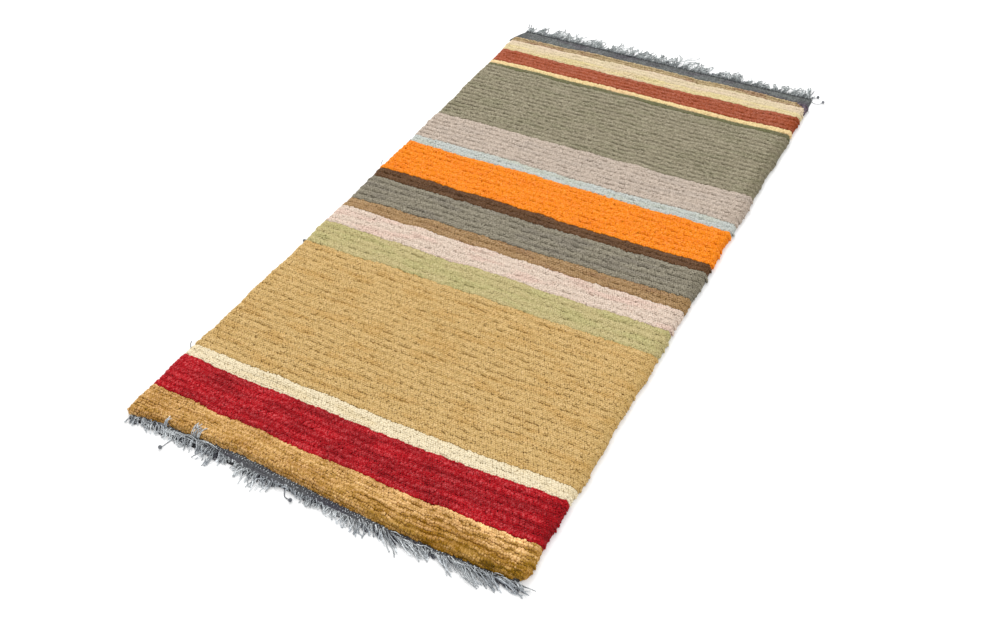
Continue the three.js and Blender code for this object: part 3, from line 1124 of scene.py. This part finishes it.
    def _standing(
        self, rng: np.random.Generator, bed: Bed, borders: Array
    ) -> tuple[Array, Array]:
        """Where tufts stand in the pile, and the way that each one points.

        Args:
            rng: The source of what is random.
            bed: The tufts' places.
            borders: The borders' strays.

        Returns:
            The tufts' middles in millimetres, and unit vectors.
        """
        size = bed.share.shape
        # A rib is highest at its crest, and lowest beside an open valley.
        height = bed.stripe.height + self.shape.lumps(bed.share * self.shape.width, bed.along)
        height = height - self.sink * bed.nearness * (0.45 + 0.55 * bed.gates)
        height = height + self.jitter[2] * rng.standard_normal(size)
        points, normals = self.shape.surface(bed.share, bed.along, height)
        points[..., 1] += self.shape.stray(borders, bed.index, bed.done, bed.share)
        # The outermost tufts of each side draw in and out, row by row.
        rim = np.clip((np.abs(2 * bed.share - 1) - 0.96) / 0.03, 0, 1) * np.sign(bed.share - 0.5)
        ragged = self.notch * bed.nearness + self.fray * rng.standard_normal((size[0], 1))
        points[..., 0] -= rim * ragged
        # Most of a tuft's half height is sunk in the pile, less evenly on the near end.
        bury = self.tuft_reach * 0.8 + 0.8 * bed.nose * rng.standard_normal(size)
        points = points - normals * bury[..., None]
        # Tufts nod toward the near end, and away from an open valley.
        lean = self.lean * rng.standard_normal(points.shape)
        lean[..., 1] -= 0.06 - 0.3 * (bed.side * bed.nearness * bed.gates)
        up = normals + lean
        up /= np.linalg.norm(up, axis=-1, keepdims=True)
        # None of them reaches down to the floor.
        low = np.hypot(self.tuft_radius * np.hypot(up[..., 0], up[..., 1]), self.tuft_reach * up[..., 2])
        points[..., 2] = np.maximum(points[..., 2], 1.15 * low)
        return points, up

    def _shade(self, rng: np.random.Generator, bed: Bed) -> Array:
        """How light each tuft is: random from one to the next, darker with painted shade beside a valley
        and on the right rim, and lighter where the grooves widen.

        Args:
            rng: The source of what is random.
            bed: The tufts' places.

        Returns:
            Mostly 0 to 1 for each tuft.
        """
        # Painted shade darkens the tufts beside a valley, more where it stands open, and those of the right
        # rim.
        light = 1 - bed.nearness * (0.9 + 0.5 * np.minimum(bed.gates, 1))
        shade = (0.35 + 0.5 * bed.nose) * rng.random(bed.share.shape) + 0.65 * light
        rim = np.clip((bed.share - 0.955) / 0.02, 0, 1)
        return shade + 0.3 * bed.grooved - self.rim_shade * rim

    def _glow(self, bed: Bed) -> Array:
        """How much painted light brightens each tuft, as a share of its dye, where its stripe has painted
        shading; below zero, painted shade darkens it.
        """
        # The painted shade is strongest at the right, on the near side, and lifts into painted light
        # through the stripe in uneven streaks.
        slope = 0.2 + 0.8 * ramp(bed.spots, *self.painted_shading_ramp)
        rng = np.random.default_rng(self.seed + 50)
        streaks = smooth_noise(rng, len(bed.share), bed.spots, self.streak_cell)
        return bed.stripe.painted_shading * (slope * (bed.done + 0.9 * streaks - 1.2) + 0.15)

    def wrapped_corner(self) -> bpy.types.Object:
        """Builds the grey yarn that is wound over the pile's edge at the far right corner."""
        rng = np.random.default_rng(self.seed - 1)
        points, up = (np.concatenate(part) for part in zip(*self.corner))
        return self._tufts(rng, "corner_winding", points, up, rng.random(len(points)), WINDING_YARN)

    def _tufts(
        self,
        rng: np.random.Generator,
        name: str,
        points: Array,
        up: Array,
        shade: Array,
        finish: YarnFinish,
        glow: Array | float = 0.0,
    ) -> bpy.types.Object:
        """Stands tufts on some points.

        Args:
            rng: The source of what is random.
            name: The piece's name.
            points: The tufts' middles, in millimetres on the rug.
            up: The way that each one points.
            shade: How light each one is, from 0 to 1.
            finish: Their finish.
            glow: How much painted light brightens each one against its finish, as a share; below zero,
                painted shade darkens it.

        Returns:
            The piece.
        """
        count = len(points)
        made = bare_mesh(name, self.shape.to_frame(points))
        add_layers(
            made.data,
            up=up,
            girth=self.tuft_radius * MM * rng.uniform(0.9, 1.12, count),
            reach=self.tuft_reach * MM * rng.uniform(0.92, 1.08, count),
            turn=rng.uniform(0, math.tau, count),
            shade=shade,
            glow=glow,
        )
        values = {"Sides": 5, "Shoulder": self.shoulder, "Yarn": finish.material()}
        bake_nodes(made, TuftTree.tree(), values)
        for spare in ("up", "girth", "reach", "turn"):
            if spare in made.data.attributes:
                made.data.attributes.remove(made.data.attributes[spare])
        LOG.info("%s: %d tufts", made.name, count)
        return made


@dataclass
class Ground:
    """The cloth that the tufts are knotted into, seen only between them.

    Attributes:
        shape: The rug's plan.
        depth: How far it lies below the pile's surface, in millimetres.
        valley: How much deeper it lies between two ribs.
        floor: The least height of its top.
        columns: How many columns of points cross it.
        rim: The share of its width that a rim takes.
    """

    shape: RugShape
    depth: float = 1.8
    valley: float = 2.0
    floor: float = 1.2
    columns: int = 46
    rim: float = 0.022

    def build(self) -> bpy.types.Object:
        """Builds the ground as one closed skin with each stripe's wool on it.

        Returns:
            The ground's piece.
        """
        share = self._shares()
        rows, owner = self._rows()
        borders = self.shape.borders()
        shares, along = np.broadcast_arrays(share[None, :], rows[:, :1])
        height = rows[:, 1:2] + self.shape.lumps(shares * self.shape.width, along)
        points, normals = self.shape.surface(shares, along, height)
        strays = [
            self.shape.stray(borders, index, np.array(done), share)
            for index, done in zip(owner, rows[:, 2])
        ]
        points[..., 1] += np.array(strays)
        points = points - normals * self.depth
        points[..., 2] = np.maximum(points[..., 2], self.floor)
        made, row = slab(self.shape, "rug_ground", points, [stripe_finish(stripe) for stripe in STRIPES])
        made.data.polygons.foreach_set("material_index", owner[row].astype(np.int32))
        # Its wool is painted in half shade, as it lies below and between the tufts.
        add_layers(made.data, rise=0.5, shade=0.5)
        return made

    def _shares(self) -> Array:
        """The columns' places across the rug, closer together on the rims."""
        rim = np.linspace(0, self.rim, 7)[:-1]
        middle = np.linspace(self.rim, 1 - self.rim, self.columns)
        return np.concatenate([rim, middle, 1 - rim[::-1]])

    def _rows(self) -> tuple[Array, Array]:
        """Each row's place, height and share of its stripe, and the stripe that owns it."""
        rows = []
        owner = []
        start = 0.0
        for index, stripe in enumerate(STRIPES):
            pitch = stripe.width / stripe.ribs
            first = -2 if index == 0 else 0
            for quarter in range(first, stripe.ribs * 4):
                done = max(quarter, 0) / (stripe.ribs * 4)
                sink = self.valley if quarter % 4 == 0 else 0.0
                rows.append((start + quarter * pitch / 4, stripe.height - sink, done))
                owner.append(index)
            start += stripe.width
        rows.append((start + 2.0, STRIPES[-1].height, 1.0))
        owner.append(len(STRIPES) - 1)
        return np.array(rows), np.array(owner)


@dataclass
class FlatWeave:
    """A strip of flat weave across the rug: thick weft over hidden warp.

    Attributes:
        shape: The rug's plan.
        name: The piece's name.
        start: Where it starts along the rug, in millimetres.
        stop: Where it stops.
        end: The end of the rug that it is at.
        finish: The finish of its weft.
        thickness: Its height above the floor, in millimetres.
        row_step: The distance between rows of points.
        column_step: The distance between columns of points.
        weft_pitch: The distance between rows of weft.
        warp_pitch: The distance between warp threads.
        relief: How far a weft loop stands up.
        bow: How far the rows of weft wander.
        bow_length: The length over which they do.
        edge_round: How far in from its side edges its top is lower.
        painted_loop_highlight: How much lighter the tops of the loops are painted, as a highlight.
        shadow_length: How far from its start the weave is darker with painted shade.
        inset: How far in from the side edges it starts.
        flare: How far its left edge stands out where it starts.
        seed: The seed of its unevenness.
    """

    shape: RugShape
    name: str
    start: float
    stop: float
    end: End
    finish: YarnFinish
    thickness: float = 4.0
    row_step: float = 0.9
    column_step: float = 1.8
    weft_pitch: float = 2.7
    warp_pitch: float = 5.8
    relief: float = 1.1
    bow: float = 0.5
    bow_length: float = 37.0
    edge_round: float = 5.0
    painted_loop_highlight: float = 0.3
    shadow_length: float = 16.0
    inset: float = 1.5
    flare: float = 0.0
    seed: int = 3

    def build(self) -> bpy.types.Object:
        """Builds the strip as a closed slab with the weave raised on its top.

        Returns:
            The strip's piece.
        """
        rng = np.random.default_rng(self.seed)
        length = self.stop - self.start
        y = np.linspace(self.start, self.stop, max(6, round(length / self.row_step)))
        share = np.linspace(0, 1, round(self.shape.width / self.column_step))
        across = share * self.shape.width
        left, right = self.shape.left_edge(y), self.shape.right_edge(y)
        left = left - self.flare * np.clip((self.stop - y) / length, 0, 1)
        x = left[:, None] + self.inset + share[None, :] * (right - left - 2 * self.inset)[:, None]
        rows = y[:, None] + self.bow * smooth_noise(rng, 1, across, self.bow_length)
        weft = rows / self.weft_pitch
        line = np.floor(weft)
        over = np.sin(math.pi * (weft - line))
        loop = np.sin(math.pi * (x / self.warp_pitch + 0.5 * line)) ** 2
        # Its top is a little uneven, loops stand highest, and it falls off at the side edges.
        uneven = 0.4 * smooth_noise(rng, len(y), across, 19.0)
        top = self.thickness - self.relief + self.relief * over * (0.35 + 0.65 * loop) + uneven
        edge = np.minimum(share, 1 - share)[None, :] * self.shape.width
        top = top * np.clip(0.35 + edge / self.edge_round, 0, 1)
        points = np.stack([x, self.shape.weave_line(self.end, x, y[:, None]), top], -1)
        made, _ = slab(self.shape, self.name, points, [self.finish])
        # Half of the streaks run on through all rows, and half change from row to row.
        streaks = 0.5 * smooth_noise(rng, 1, across, 3.6)
        streaks = streaks + 0.5 * smooth_noise(rng, len(y), across, 4.5)
        # Painted shade darkens the weave toward its start, in the troughs between loops and most at the
        # feet of its side walls, while a painted highlight lightens the tops of the loops.
        shadow = 0.5 + 0.5 * np.clip((y[:, None] - self.start) / self.shadow_length, 0, 1)
        shade = 0.1 + self.painted_loop_highlight * over * loop + 0.8 * streaks
        rise = (0.25 + 0.75 * over * (0.4 + 0.6 * loop)) * shadow
        add_layers(
            made.data,
            shade=np.pad(shade, ((0, 0), (1, 1)), constant_values=0.3),
            rise=np.pad(rise, ((0, 0), (1, 1))),
        )
        return made


class ThreadTree(YarnTree):
    """The geometry tree that turns lines into round threads with a knot on marked points."""

    NAME = "warp threads"
    INPUTS = {
        "Geometry": "Geometry",
        "Thread Radius": "Float",
        "Knot Radius": "Float",
        "Sides": "Int",
        "Knot Detail": "Int",
        "Yarn": "Material",
    }

    @classmethod
    def _fill(cls, tree: bpy.types.NodeTree, given: Any) -> dict[str, Any]:
        """Adds the nodes of tubes along the lines, and of a ball on each end that has a knot."""
        lines = plant(tree, "GeometryNodeMeshToCurve", {0: given["Geometry"]}).outputs[0]
        round_line = {"Resolution": given["Sides"], "Radius": given["Thread Radius"]}
        ring = plant(tree, "GeometryNodeCurvePrimitiveCircle", round_line).outputs[0]
        sweep = {"Curve": lines, "Profile Curve": ring, "Fill Caps": True}
        tubes = plant(tree, "GeometryNodeCurveToMesh", sweep).outputs[0]
        tied = {0: cls._read(tree, "knot"), 1: 0.5}
        chosen = plant(tree, "FunctionNodeCompare", tied, operation="GREATER_THAN").outputs[0]
        sphere = {"Radius": given["Knot Radius"], "Subdivisions": given["Knot Detail"]}
        ball = plant(tree, "GeometryNodeMeshIcoSphere", sphere).outputs["Mesh"]
        ends = {"Points": given["Geometry"], "Selection": chosen, "Instance": ball}
        knots = plant(tree, "GeometryNodeInstanceOnPoints", ends).outputs[0]
        both = tree.nodes.new("GeometryNodeJoinGeometry")
        for geometry in (tubes, knots):
            tree.links.new(geometry, both.inputs[0])
        return cls._dyed(tree, both.outputs[0], given["Yarn"])


def thread_piece(
    shape: RugShape,
    name: str,
    paths: list[Array],
    knotted: list[bool],
    radius: float,
    finish: YarnFinish,
    knot_size: float = 1.9,
    knot_detail: int = 1,
) -> bpy.types.Object:
    """One piece of round threads that follow some paths.

    Args:
        shape: The rug's plan.
        name: The piece's name.
        paths: The threads' paths, each N by 3, in millimetres.
        knotted: Whether each thread ends in a knot.
        radius: A thread's half thickness, in millimetres.
        finish: The threads' finish.
        knot_size: A knot's size next to its thread's.
        knot_detail: How finely its ball is made.

    Returns:
        The piece.
    """
    rng = np.random.default_rng(len(paths))
    for path, tied in zip(paths, knotted):
        path[-1, 2] = max(path[-1, 2], (knot_size + 0.1) * radius * tied)
    points = np.concatenate(paths)
    ends = np.cumsum([len(path) for path in paths])
    joined = np.setdiff1d(np.arange(len(points) - 1), ends - 1)
    made = bare_mesh(name, shape.to_frame(points), np.stack([joined, joined + 1], 1))
    knot = np.zeros(len(points))
    knot[ends - 1] = np.array(knotted, float)
    # Each thread is painted in shade at its root and lightens toward its tip; each takes a random tone of
    # its own.
    add_layers(
        made.data,
        knot=knot,
        shade=np.concatenate([np.full(len(path), rng.random()) for path in paths]),
        rise=np.concatenate([np.linspace(0.15, 1.6, len(path)) for path in paths]),
    )
    values = {
        "Thread Radius": radius * MM,
        "Knot Radius": knot_size * radius * MM,
        "Sides": 4,
        "Knot Detail": knot_detail,
        "Yarn": finish.material(),
    }
    bake_nodes(made, ThreadTree.tree(), values)
    LOG.info("%s: %d threads", name, len(paths))
    return made


@dataclass
class Twining:
    """The row of slanting stitches that locks the near strip to the pile.

    Attributes:
        shape: The rug's plan.
        pitch: The distance between stitches, in millimetres.
        radius: A stitch's half thickness.
        reach: A stitch's half length.
        height: Its height above the floor.
        insets: How far in from the left and right side edges the stitches start.
        first_row: How far in from the near edge the inner row lies.
        row_gap: The distance between the two rows.
        seed: The seed of their unevenness.
    """

    shape: RugShape
    pitch: float = 5.2
    radius: float = 0.82
    reach: float = 2.4
    height: float = 4.0
    insets: tuple[float, float] = (14.0, 6.0)
    first_row: float = -3.0
    row_gap: float = 3.2
    seed: int = 9

    def build(self) -> bpy.types.Object:
        """Builds the stitches in two rows that slant against each other.

        Returns:
            The stitches' piece.
        """
        rng = np.random.default_rng(self.seed)
        left, right = self.insets
        places = np.arange(left, self.shape.width - right, self.pitch)
        x = np.concatenate([places, places + self.pitch / 2])
        count = len(x)
        row = np.repeat([0.0, 1.0], len(places))
        x = x + 1.1 * rng.standard_normal(count)
        y = self.first_row - self.row_gap * row + self.shape.near_edge(x)
        y = y + 0.6 * rng.standard_normal(count)
        z = self.height - 0.4 * row + 0.25 * rng.standard_normal(count)
        slant = np.where(row > 0, 0.5, -0.35) + 0.5 * rng.standard_normal(count)
        made = bare_mesh("near_twining", self.shape.to_frame(np.stack([x, y, z], 1)))
        add_layers(
            made.data,
            up=np.stack([slant, -np.ones_like(x), 0 * x], 1),
            girth=self.radius * MM * rng.uniform(0.8, 1.2, count),
            reach=self.reach * MM * rng.uniform(0.5, 1.3, count),
            turn=rng.uniform(0, math.tau, count),
            shade=rng.random(count),
        )
        values = {"Sides": 6, "Shoulder": 0.0, "Yarn": WARP_YARN.material()}
        bake_nodes(made, TuftTree.tree(), values)
        LOG.info("%s: %d stitches", made.name, count)
        return made


@dataclass
class Fringe:
    """The warp's own threads at one end, tangled loosely on the floor.

    Attributes:
        shape: The rug's plan.
        end: Which end of the rug it is.
        name: The piece's name.
        finish: The finish of its threads.
        edge: Where its threads leave the cloth, in millimetres along the rug.
        reach: Places across the rug, and how far the threads reach past the edge there.
        sideways: How strongly whole tufts turn along the edge.
        tangle: How strongly single threads turn.
        leans: Places across the rug, and how far all threads turn along the edge there.
        tucks: Places across the rug, and the share of the tuck that they use there.
        clump: How strongly a tuft's threads draw together.
        crimp: How kinked a thread is from the weave, in millimetres.
        steps: How many points a thread's path has.
        pitch: The distance between threads.
        radius: A thread's half thickness.
        lift: How high the tangle stands.
        tuck: How far in over the strip its threads may start.
        root: The height at which they leave it.
        fall: How soon past the edge they come down to the floor.
        start: Its first thread's place across the rug.
        tufts: The least and the most distance between two tufts' middles.
        knots: The share of threads that end in a knot.
        seed: The seed of all that is random here.
    """

    shape: RugShape
    end: End
    name: str
    finish: YarnFinish
    edge: float
    reach: Profile
    sideways: float
    tangle: float
    leans: Profile = ((0, 0),)
    tucks: Profile = ((0, 1),)
    clump: float = 0.8
    crimp: float = 0.3
    steps: int = 12
    pitch: float = 1.7
    radius: float = 0.8
    lift: float = 5.0
    tuck: float = 9.0
    root: float = 4.6
    fall: float = 5.0
    start: float = 4.0
    tufts: tuple[float, float] = (9.0, 20.0)
    knots: float = 0.2
    seed: int = 1

    def build(self) -> bpy.types.Object:
        """Builds the fringe.

        Returns:
            The fringe's piece.
        """
        rng = np.random.default_rng(self.seed)
        y = np.array([self.edge])
        first = float(self.shape.left_edge(y)[0]) + self.start
        last = float(self.shape.right_edge(y)[0]) - 3
        roots = np.arange(first, last, self.pitch)
        roots = roots + 0.3 * self.pitch * rng.standard_normal(len(roots))
        middles = np.cumsum(rng.uniform(*self.tufts, 80)) + first - 10
        lean = self.sideways * rng.standard_normal(len(middles))
        lean = lean + read_off(self.leans, middles)
        nearest = np.abs(roots[:, None] - middles[None, :]).argmin(axis=1)
        lengths = read_off(self.reach, roots)
        paths = []
        knotted = []
        for root, tuft, length in zip(roots, nearest, lengths):
            whole = length * (0.45 + 0.65 * rng.random() ** 0.7)
            paths.append(self._path(rng, root, middles[tuft], whole, lean[tuft]))
            knotted.append(bool(rng.random() < self.knots))
        return thread_piece(self.shape, self.name, paths, knotted, self.radius, self.finish)

    def _path(
        self, rng: np.random.Generator, root: float, middle: float, length: float, lean: float
    ) -> Array:
        """One thread's path: out of the cloth, down to the floor, and curling toward its tuft.

        Args:
            rng: The source of what is random.
            root: Where it leaves the cloth, across the rug.
            middle: Its tuft's middle.
            length: Its length past the edge.
            lean: The tuft's turn along the edge, in radians.

        Returns:
            The path's points in millimetres.
        """
        steps = self.steps
        share = np.linspace(0, 1, steps)
        # Threads that lie far over along the edge tangle and gather less.
        calm = 1 + 2 * abs(lean)
        tangle = self.tangle / calm
        turn = lean * (0.75 + 0.25 * share) + tangle * rng.standard_normal() * (0.4 + 0.6 * share)
        curl = tangle * 1.6 * rng.standard_normal()
        turn = turn + curl * np.sin(math.pi * share * rng.uniform(0.8, 2.4))
        turn = turn + (middle - root) / max(length, 8.0) * self.clump / calm
        hop = length * (1 + 0.5 * abs(curl)) / (steps - 1) / max(math.cos(lean), 0.36)
        x = root + np.concatenate([[0], np.cumsum(np.sin(turn[:-1]) * hop)])
        out = np.concatenate([[0], np.cumsum(np.cos(turn[:-1]) * hop)])
        edge = float(self.shape.weave_line(self.end, np.array([root]), np.array([self.edge]))[0])
        tuck = self.tuck * rng.random() * float(read_off(self.tucks, root))
        # The kinks of the weave start past the root.
        kinks = self.crimp / calm * rng.standard_normal((3, steps)) * np.minimum(3 * share, 1)
        out = out + kinks[1]
        y = edge + self.end.value * (out - tuck)
        high = self.lift * rng.random() ** 1.5
        floor = self.radius + 0.05
        past = np.maximum(out - tuck, 0) / self.fall
        z = floor + high * np.sin(math.pi * share**0.7) + (self.root - floor) * np.exp(-past) + kinks[2]
        return np.stack([x + kinks[0], y, np.maximum(z, floor)], 1)


@dataclass
class StrayThreads:
    """The few threads that have worked loose from the edges.

    Attributes:
        shape: The rug's plan.
        radius: A thread's half thickness, in millimetres.
        sprays: Each spray's place across and along the rug, its reach and its threads.
        crossings: How many threads lie along the near strip.
        left_threads: Places along the left edge, and whether a thread stands up there.
        seed: The seed of the sprays and of the threads along the strip.
    """

    shape: RugShape
    radius: float = 0.7
    sprays: tuple[tuple[int, ...], ...] = ((77, 4, 9, 7), (134, 9, 15, 11))
    crossings: int = 18
    left_threads: tuple[tuple[float, bool], ...] = ((153.0, True), (479.0, False), (738.0, True))
    seed: int = 5

    def build(self) -> list[bpy.types.Object]:
        """Builds the tufts that climb onto the near stripe, and the single threads at the edges.

        Returns:
            The light threads' piece and the dark threads' piece.
        """
        rng = np.random.default_rng(self.seed)
        light = [self._spray(rng, *spray) for *spray, count in self.sprays for _ in range(count)]
        light += [self._crossing(rng) for _ in range(self.crossings)]
        light += [self._curve(*stray.points) for stray in STRAYS if not stray.dark]
        dark = [self._curve(*stray.points) for stray in STRAYS if stray.dark]
        dark += [self._left_thread(y, standing) for y, standing in self.left_threads]
        tied = [stray.knotted for stray in STRAYS if stray.dark]
        tied += [not standing for _, standing in self.left_threads]
        loose = [False] * len(light)
        return [
            thread_piece(self.shape, "stray_threads", light, loose, self.radius, WARP_YARN),
            thread_piece(self.shape, "dark_strays", dark, tied, self.radius, LOOSE_YARN, 4.4, 2),
        ]

    def _spray(self, rng: np.random.Generator, x: float, y: float, reach: float) -> Array:
        """A thread that fans out of the near edge over the pile's nose."""
        turn = rng.uniform(-1.0, 1.0)
        far = reach * rng.uniform(0.5, 1.1)
        side, inward = far * math.sin(turn), far * math.cos(turn)
        foot = x + 0.35 * reach * rng.standard_normal()
        return self._curve(
            (foot, y - 6, 3.6),
            (foot + 0.2 * side, y - 1, 12),
            (foot + 0.5 * side, y + 0.4 * inward + 1, 16.5),
            (foot + side, y + inward + 2, 16),
        )

    def _crossing(self, rng: np.random.Generator) -> Array:
        """A thread that lies along the near strip, over the others."""
        x = rng.uniform(45, 150)
        y = float(self.shape.near_edge(np.array([x]))[0]) - rng.uniform(3, 12)
        hop = rng.uniform(7, 15) * rng.choice([-1, 1])
        drift = rng.uniform(-5, 5)
        return self._curve(
            (x, y, 4.5),
            (x + hop, y + drift, 7.8),
            (x + 2 * hop, y + 1.5 * drift + rng.uniform(-4, 4), 7.4),
            (x + 3 * hop, y + drift, 4.5),
        )

    def _left_thread(self, y: float, standing: bool) -> Array:
        """A thread that stands up or hangs down at the left edge."""
        x = float(self.shape.left_edge(np.array([y]))[0])
        if standing:
            return self._curve((x + 4, y, 8), (x + 1, y + 1, 12), (x - 2, y + 5, 15), (x - 3, y + 10, 17))
        return self._curve((x + 3, y, 7), (x - 3, y + 2, 6), (x - 7, y + 1, 2.4))

    @staticmethod
    def _curve(*points: Point) -> Array:
        """A soft line through some points."""
        ends = np.array(points, float)
        steps = np.linspace(0, len(ends) - 1, 14)
        line = np.stack([np.interp(steps, np.arange(len(ends)), column) for column in ends.T], 1)
        middle = (line[:-2] + 2 * line[1:-1] + line[2:]) / 4
        return np.concatenate([line[:1], middle, line[-1:]])


@dataclass
class Studio:
    """The floor, the lights and the camera.

    Attributes:
        shape: The rug's plan.
        eye: The camera's place, in millimetres from the rug's near left corner.
        aim: The point on the floor that it looks at.
        roll_deg: How far the camera is turned about its own axis.
        lens_mm: Its focal length on a sensor 36 mm wide.
    """

    shape: RugShape
    eye: Point = (1088.1, -782.2, 1284.3)
    aim: Point = (409.4, 470.5, 0.0)
    roll_deg: float = -1.08
    lens_mm: float = 40.5

    def build(self) -> None:
        """Builds the whole studio."""
        self._floor()
        self._light("window", (-1.9, 2.0, 2.6), 2.6, 95.0)
        self._light("reflector", (2.2, -1.4, 2.4), 2.4, 26.0)
        self._sky(0.92)
        self._camera()
        scene = bpy.context.scene
        scene.view_settings.view_transform = "Standard"
        scene.view_settings.look = "None"

    def _floor(self) -> None:
        """A plain white floor, much wider than the view."""
        half = 12.0
        corners = np.array([(-half, -half, 0), (half, -half, 0), (half, half, 0), (-half, half, 0)])
        floor = bare_mesh("studio_floor", corners, faces=np.array([(0, 1, 2, 3)]))
        paint = bpy.data.materials.new("white floor")
        paint.use_nodes = True
        coat = paint.node_tree.nodes["Principled BSDF"]
        coat.inputs["Base Color"].default_value = (0.9, 0.9, 0.9, 1.0)
        coat.inputs["Roughness"].default_value = 0.8
        coat.inputs["Specular IOR Level"].default_value = 0.1
        floor.data.materials.append(paint)

    def _light(self, name: str, place: Point, size: float, power: float) -> None:
        """A square soft light that faces the rug.

        Args:
            name: The light's name.
            place: Where it is, in metres.
            size: The length of its side.
            power: Its power in watts.
        """
        lamp = bpy.data.lights.new(name, "AREA")
        lamp.size = size
        lamp.energy = power
        made = placed(name, lamp)
        made.location = place
        made.rotation_euler = (-Vector(place)).to_track_quat("-Z", "Y").to_euler()

    def _sky(self, strength: float) -> None:
        """Even white light from all round."""
        world = bpy.data.worlds.new("studio")
        world.use_nodes = True
        sky = world.node_tree.nodes["Background"]
        sky.inputs["Color"].default_value = (1.0, 1.0, 1.0, 1.0)
        sky.inputs["Strength"].default_value = strength
        bpy.context.scene.world = world

    def _camera(self) -> None:
        """The camera, at the height and angle from which the rug is seen."""
        lens = bpy.data.cameras.new("camera")
        lens.lens = self.lens_mm
        lens.sensor_width = 36.0
        lens.clip_end = 60.0
        made = placed("camera", lens)
        eye, aim = (Vector(self.shape.to_frame(np.array(place))) for place in (self.eye, self.aim))
        look = (aim - eye).to_track_quat("-Z", "Y").to_matrix().to_4x4()
        roll = Matrix.Rotation(math.radians(self.roll_deg), 4, "Z")
        made.matrix_world = Matrix.Translation(eye) @ look @ roll
        bpy.context.scene.camera = made


def fringes(shape: RugShape, stop: float) -> list[Fringe]:
    """The rug's fringes.

    Args:
        shape: The rug's plan.
        stop: Where the far one's threads leave the cloth, along the rug.

    Returns:
        The far end's two layers, then the near end's three.
    """
    near_edge = -shape.strip_width
    return [
        Fringe(
            shape, End.FAR, "far_threads", FAR_YARN, stop, FAR_REACH, 0.2, 0.28, clump=1.3, pitch=1.4,
            tuck=5.0, seed=21,
        ),
        # This layer of darker threads stands in for the painted shade under the far fringe's threads.
        Fringe(
            shape, End.FAR, "far_underlay", LOOSE_YARN, stop, FAR_SHADE_REACH, 0.1, 0.1,
            steps=7, pitch=1.6, lift=1.0, tuck=5.0, seed=22,
        ),
        Fringe(
            shape, End.NEAR, "near_threads", WARP_YARN, near_edge, NEAR_REACH, 0.3, 0.45,
            NEAR_LEANS, NEAR_TUCKS, crimp=0.5, steps=14, pitch=1.8, radius=0.76, lift=6.0, tuck=8.0,
            root=4.2, start=12.0, seed=12,
        ),
        Fringe(
            shape, End.NEAR, "near_flyaways", WARP_YARN, near_edge, NEAR_FLYAWAYS, 0.5, 0.8,
            NEAR_LEANS, NEAR_TUCKS, crimp=0.4, steps=14, pitch=5.0, radius=0.6, lift=8.0, tuck=8.0,
            start=30.0, seed=14,
        ),
        # This layer of dark threads stands in for the painted shade under the near fringe's light threads.
        Fringe(
            shape, End.NEAR, "near_underlay", SHADED_YARN, near_edge, NEAR_SHADE_REACH, 0.3, 0.3,
            NEAR_LEANS, steps=7, pitch=2.2, lift=1.5, tuck=1.0, root=2.6, start=12.0, seed=13,
        ),
    ]


def main() -> None:
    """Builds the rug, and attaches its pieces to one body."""
    logging.basicConfig(level=logging.INFO, format="%(name)s %(message)s")
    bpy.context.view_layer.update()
    shape = RugShape()
    Studio(shape).build()
    knots = Pile(shape)
    pile = [*knots.build(), knots.wrapped_corner()]
    ground = Ground(shape).build()
    stop = shape.cloth_length + shape.strip_width
    band = FlatWeave(
        shape, "flat_band", shape.pile_length - 14, stop, End.FAR, BAND_YARN, shadow_length=32.0,
        flare=13.0,
    ).build()
    strip = FlatWeave(
        shape, "near_strip", -shape.strip_width, 8.0, End.NEAR, STRIP_YARN, thickness=3.4, inset=9.0,
        shadow_length=0.1, seed=4,
    ).build()
    threads = [fringe.build() for fringe in fringes(shape, stop)]
    twining = Twining(shape).build()
    strays = StrayThreads(shape).build()
    wool = [*pile, ground]
    cotton = [band, strip, *threads, twining, *strays]
    for piece in [*wool, *cotton]:
        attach(piece, "root")
    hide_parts("rug_cloth")
    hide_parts("far_fringe")
    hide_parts("near_fringe")


if __name__ == "__main__":
    main()
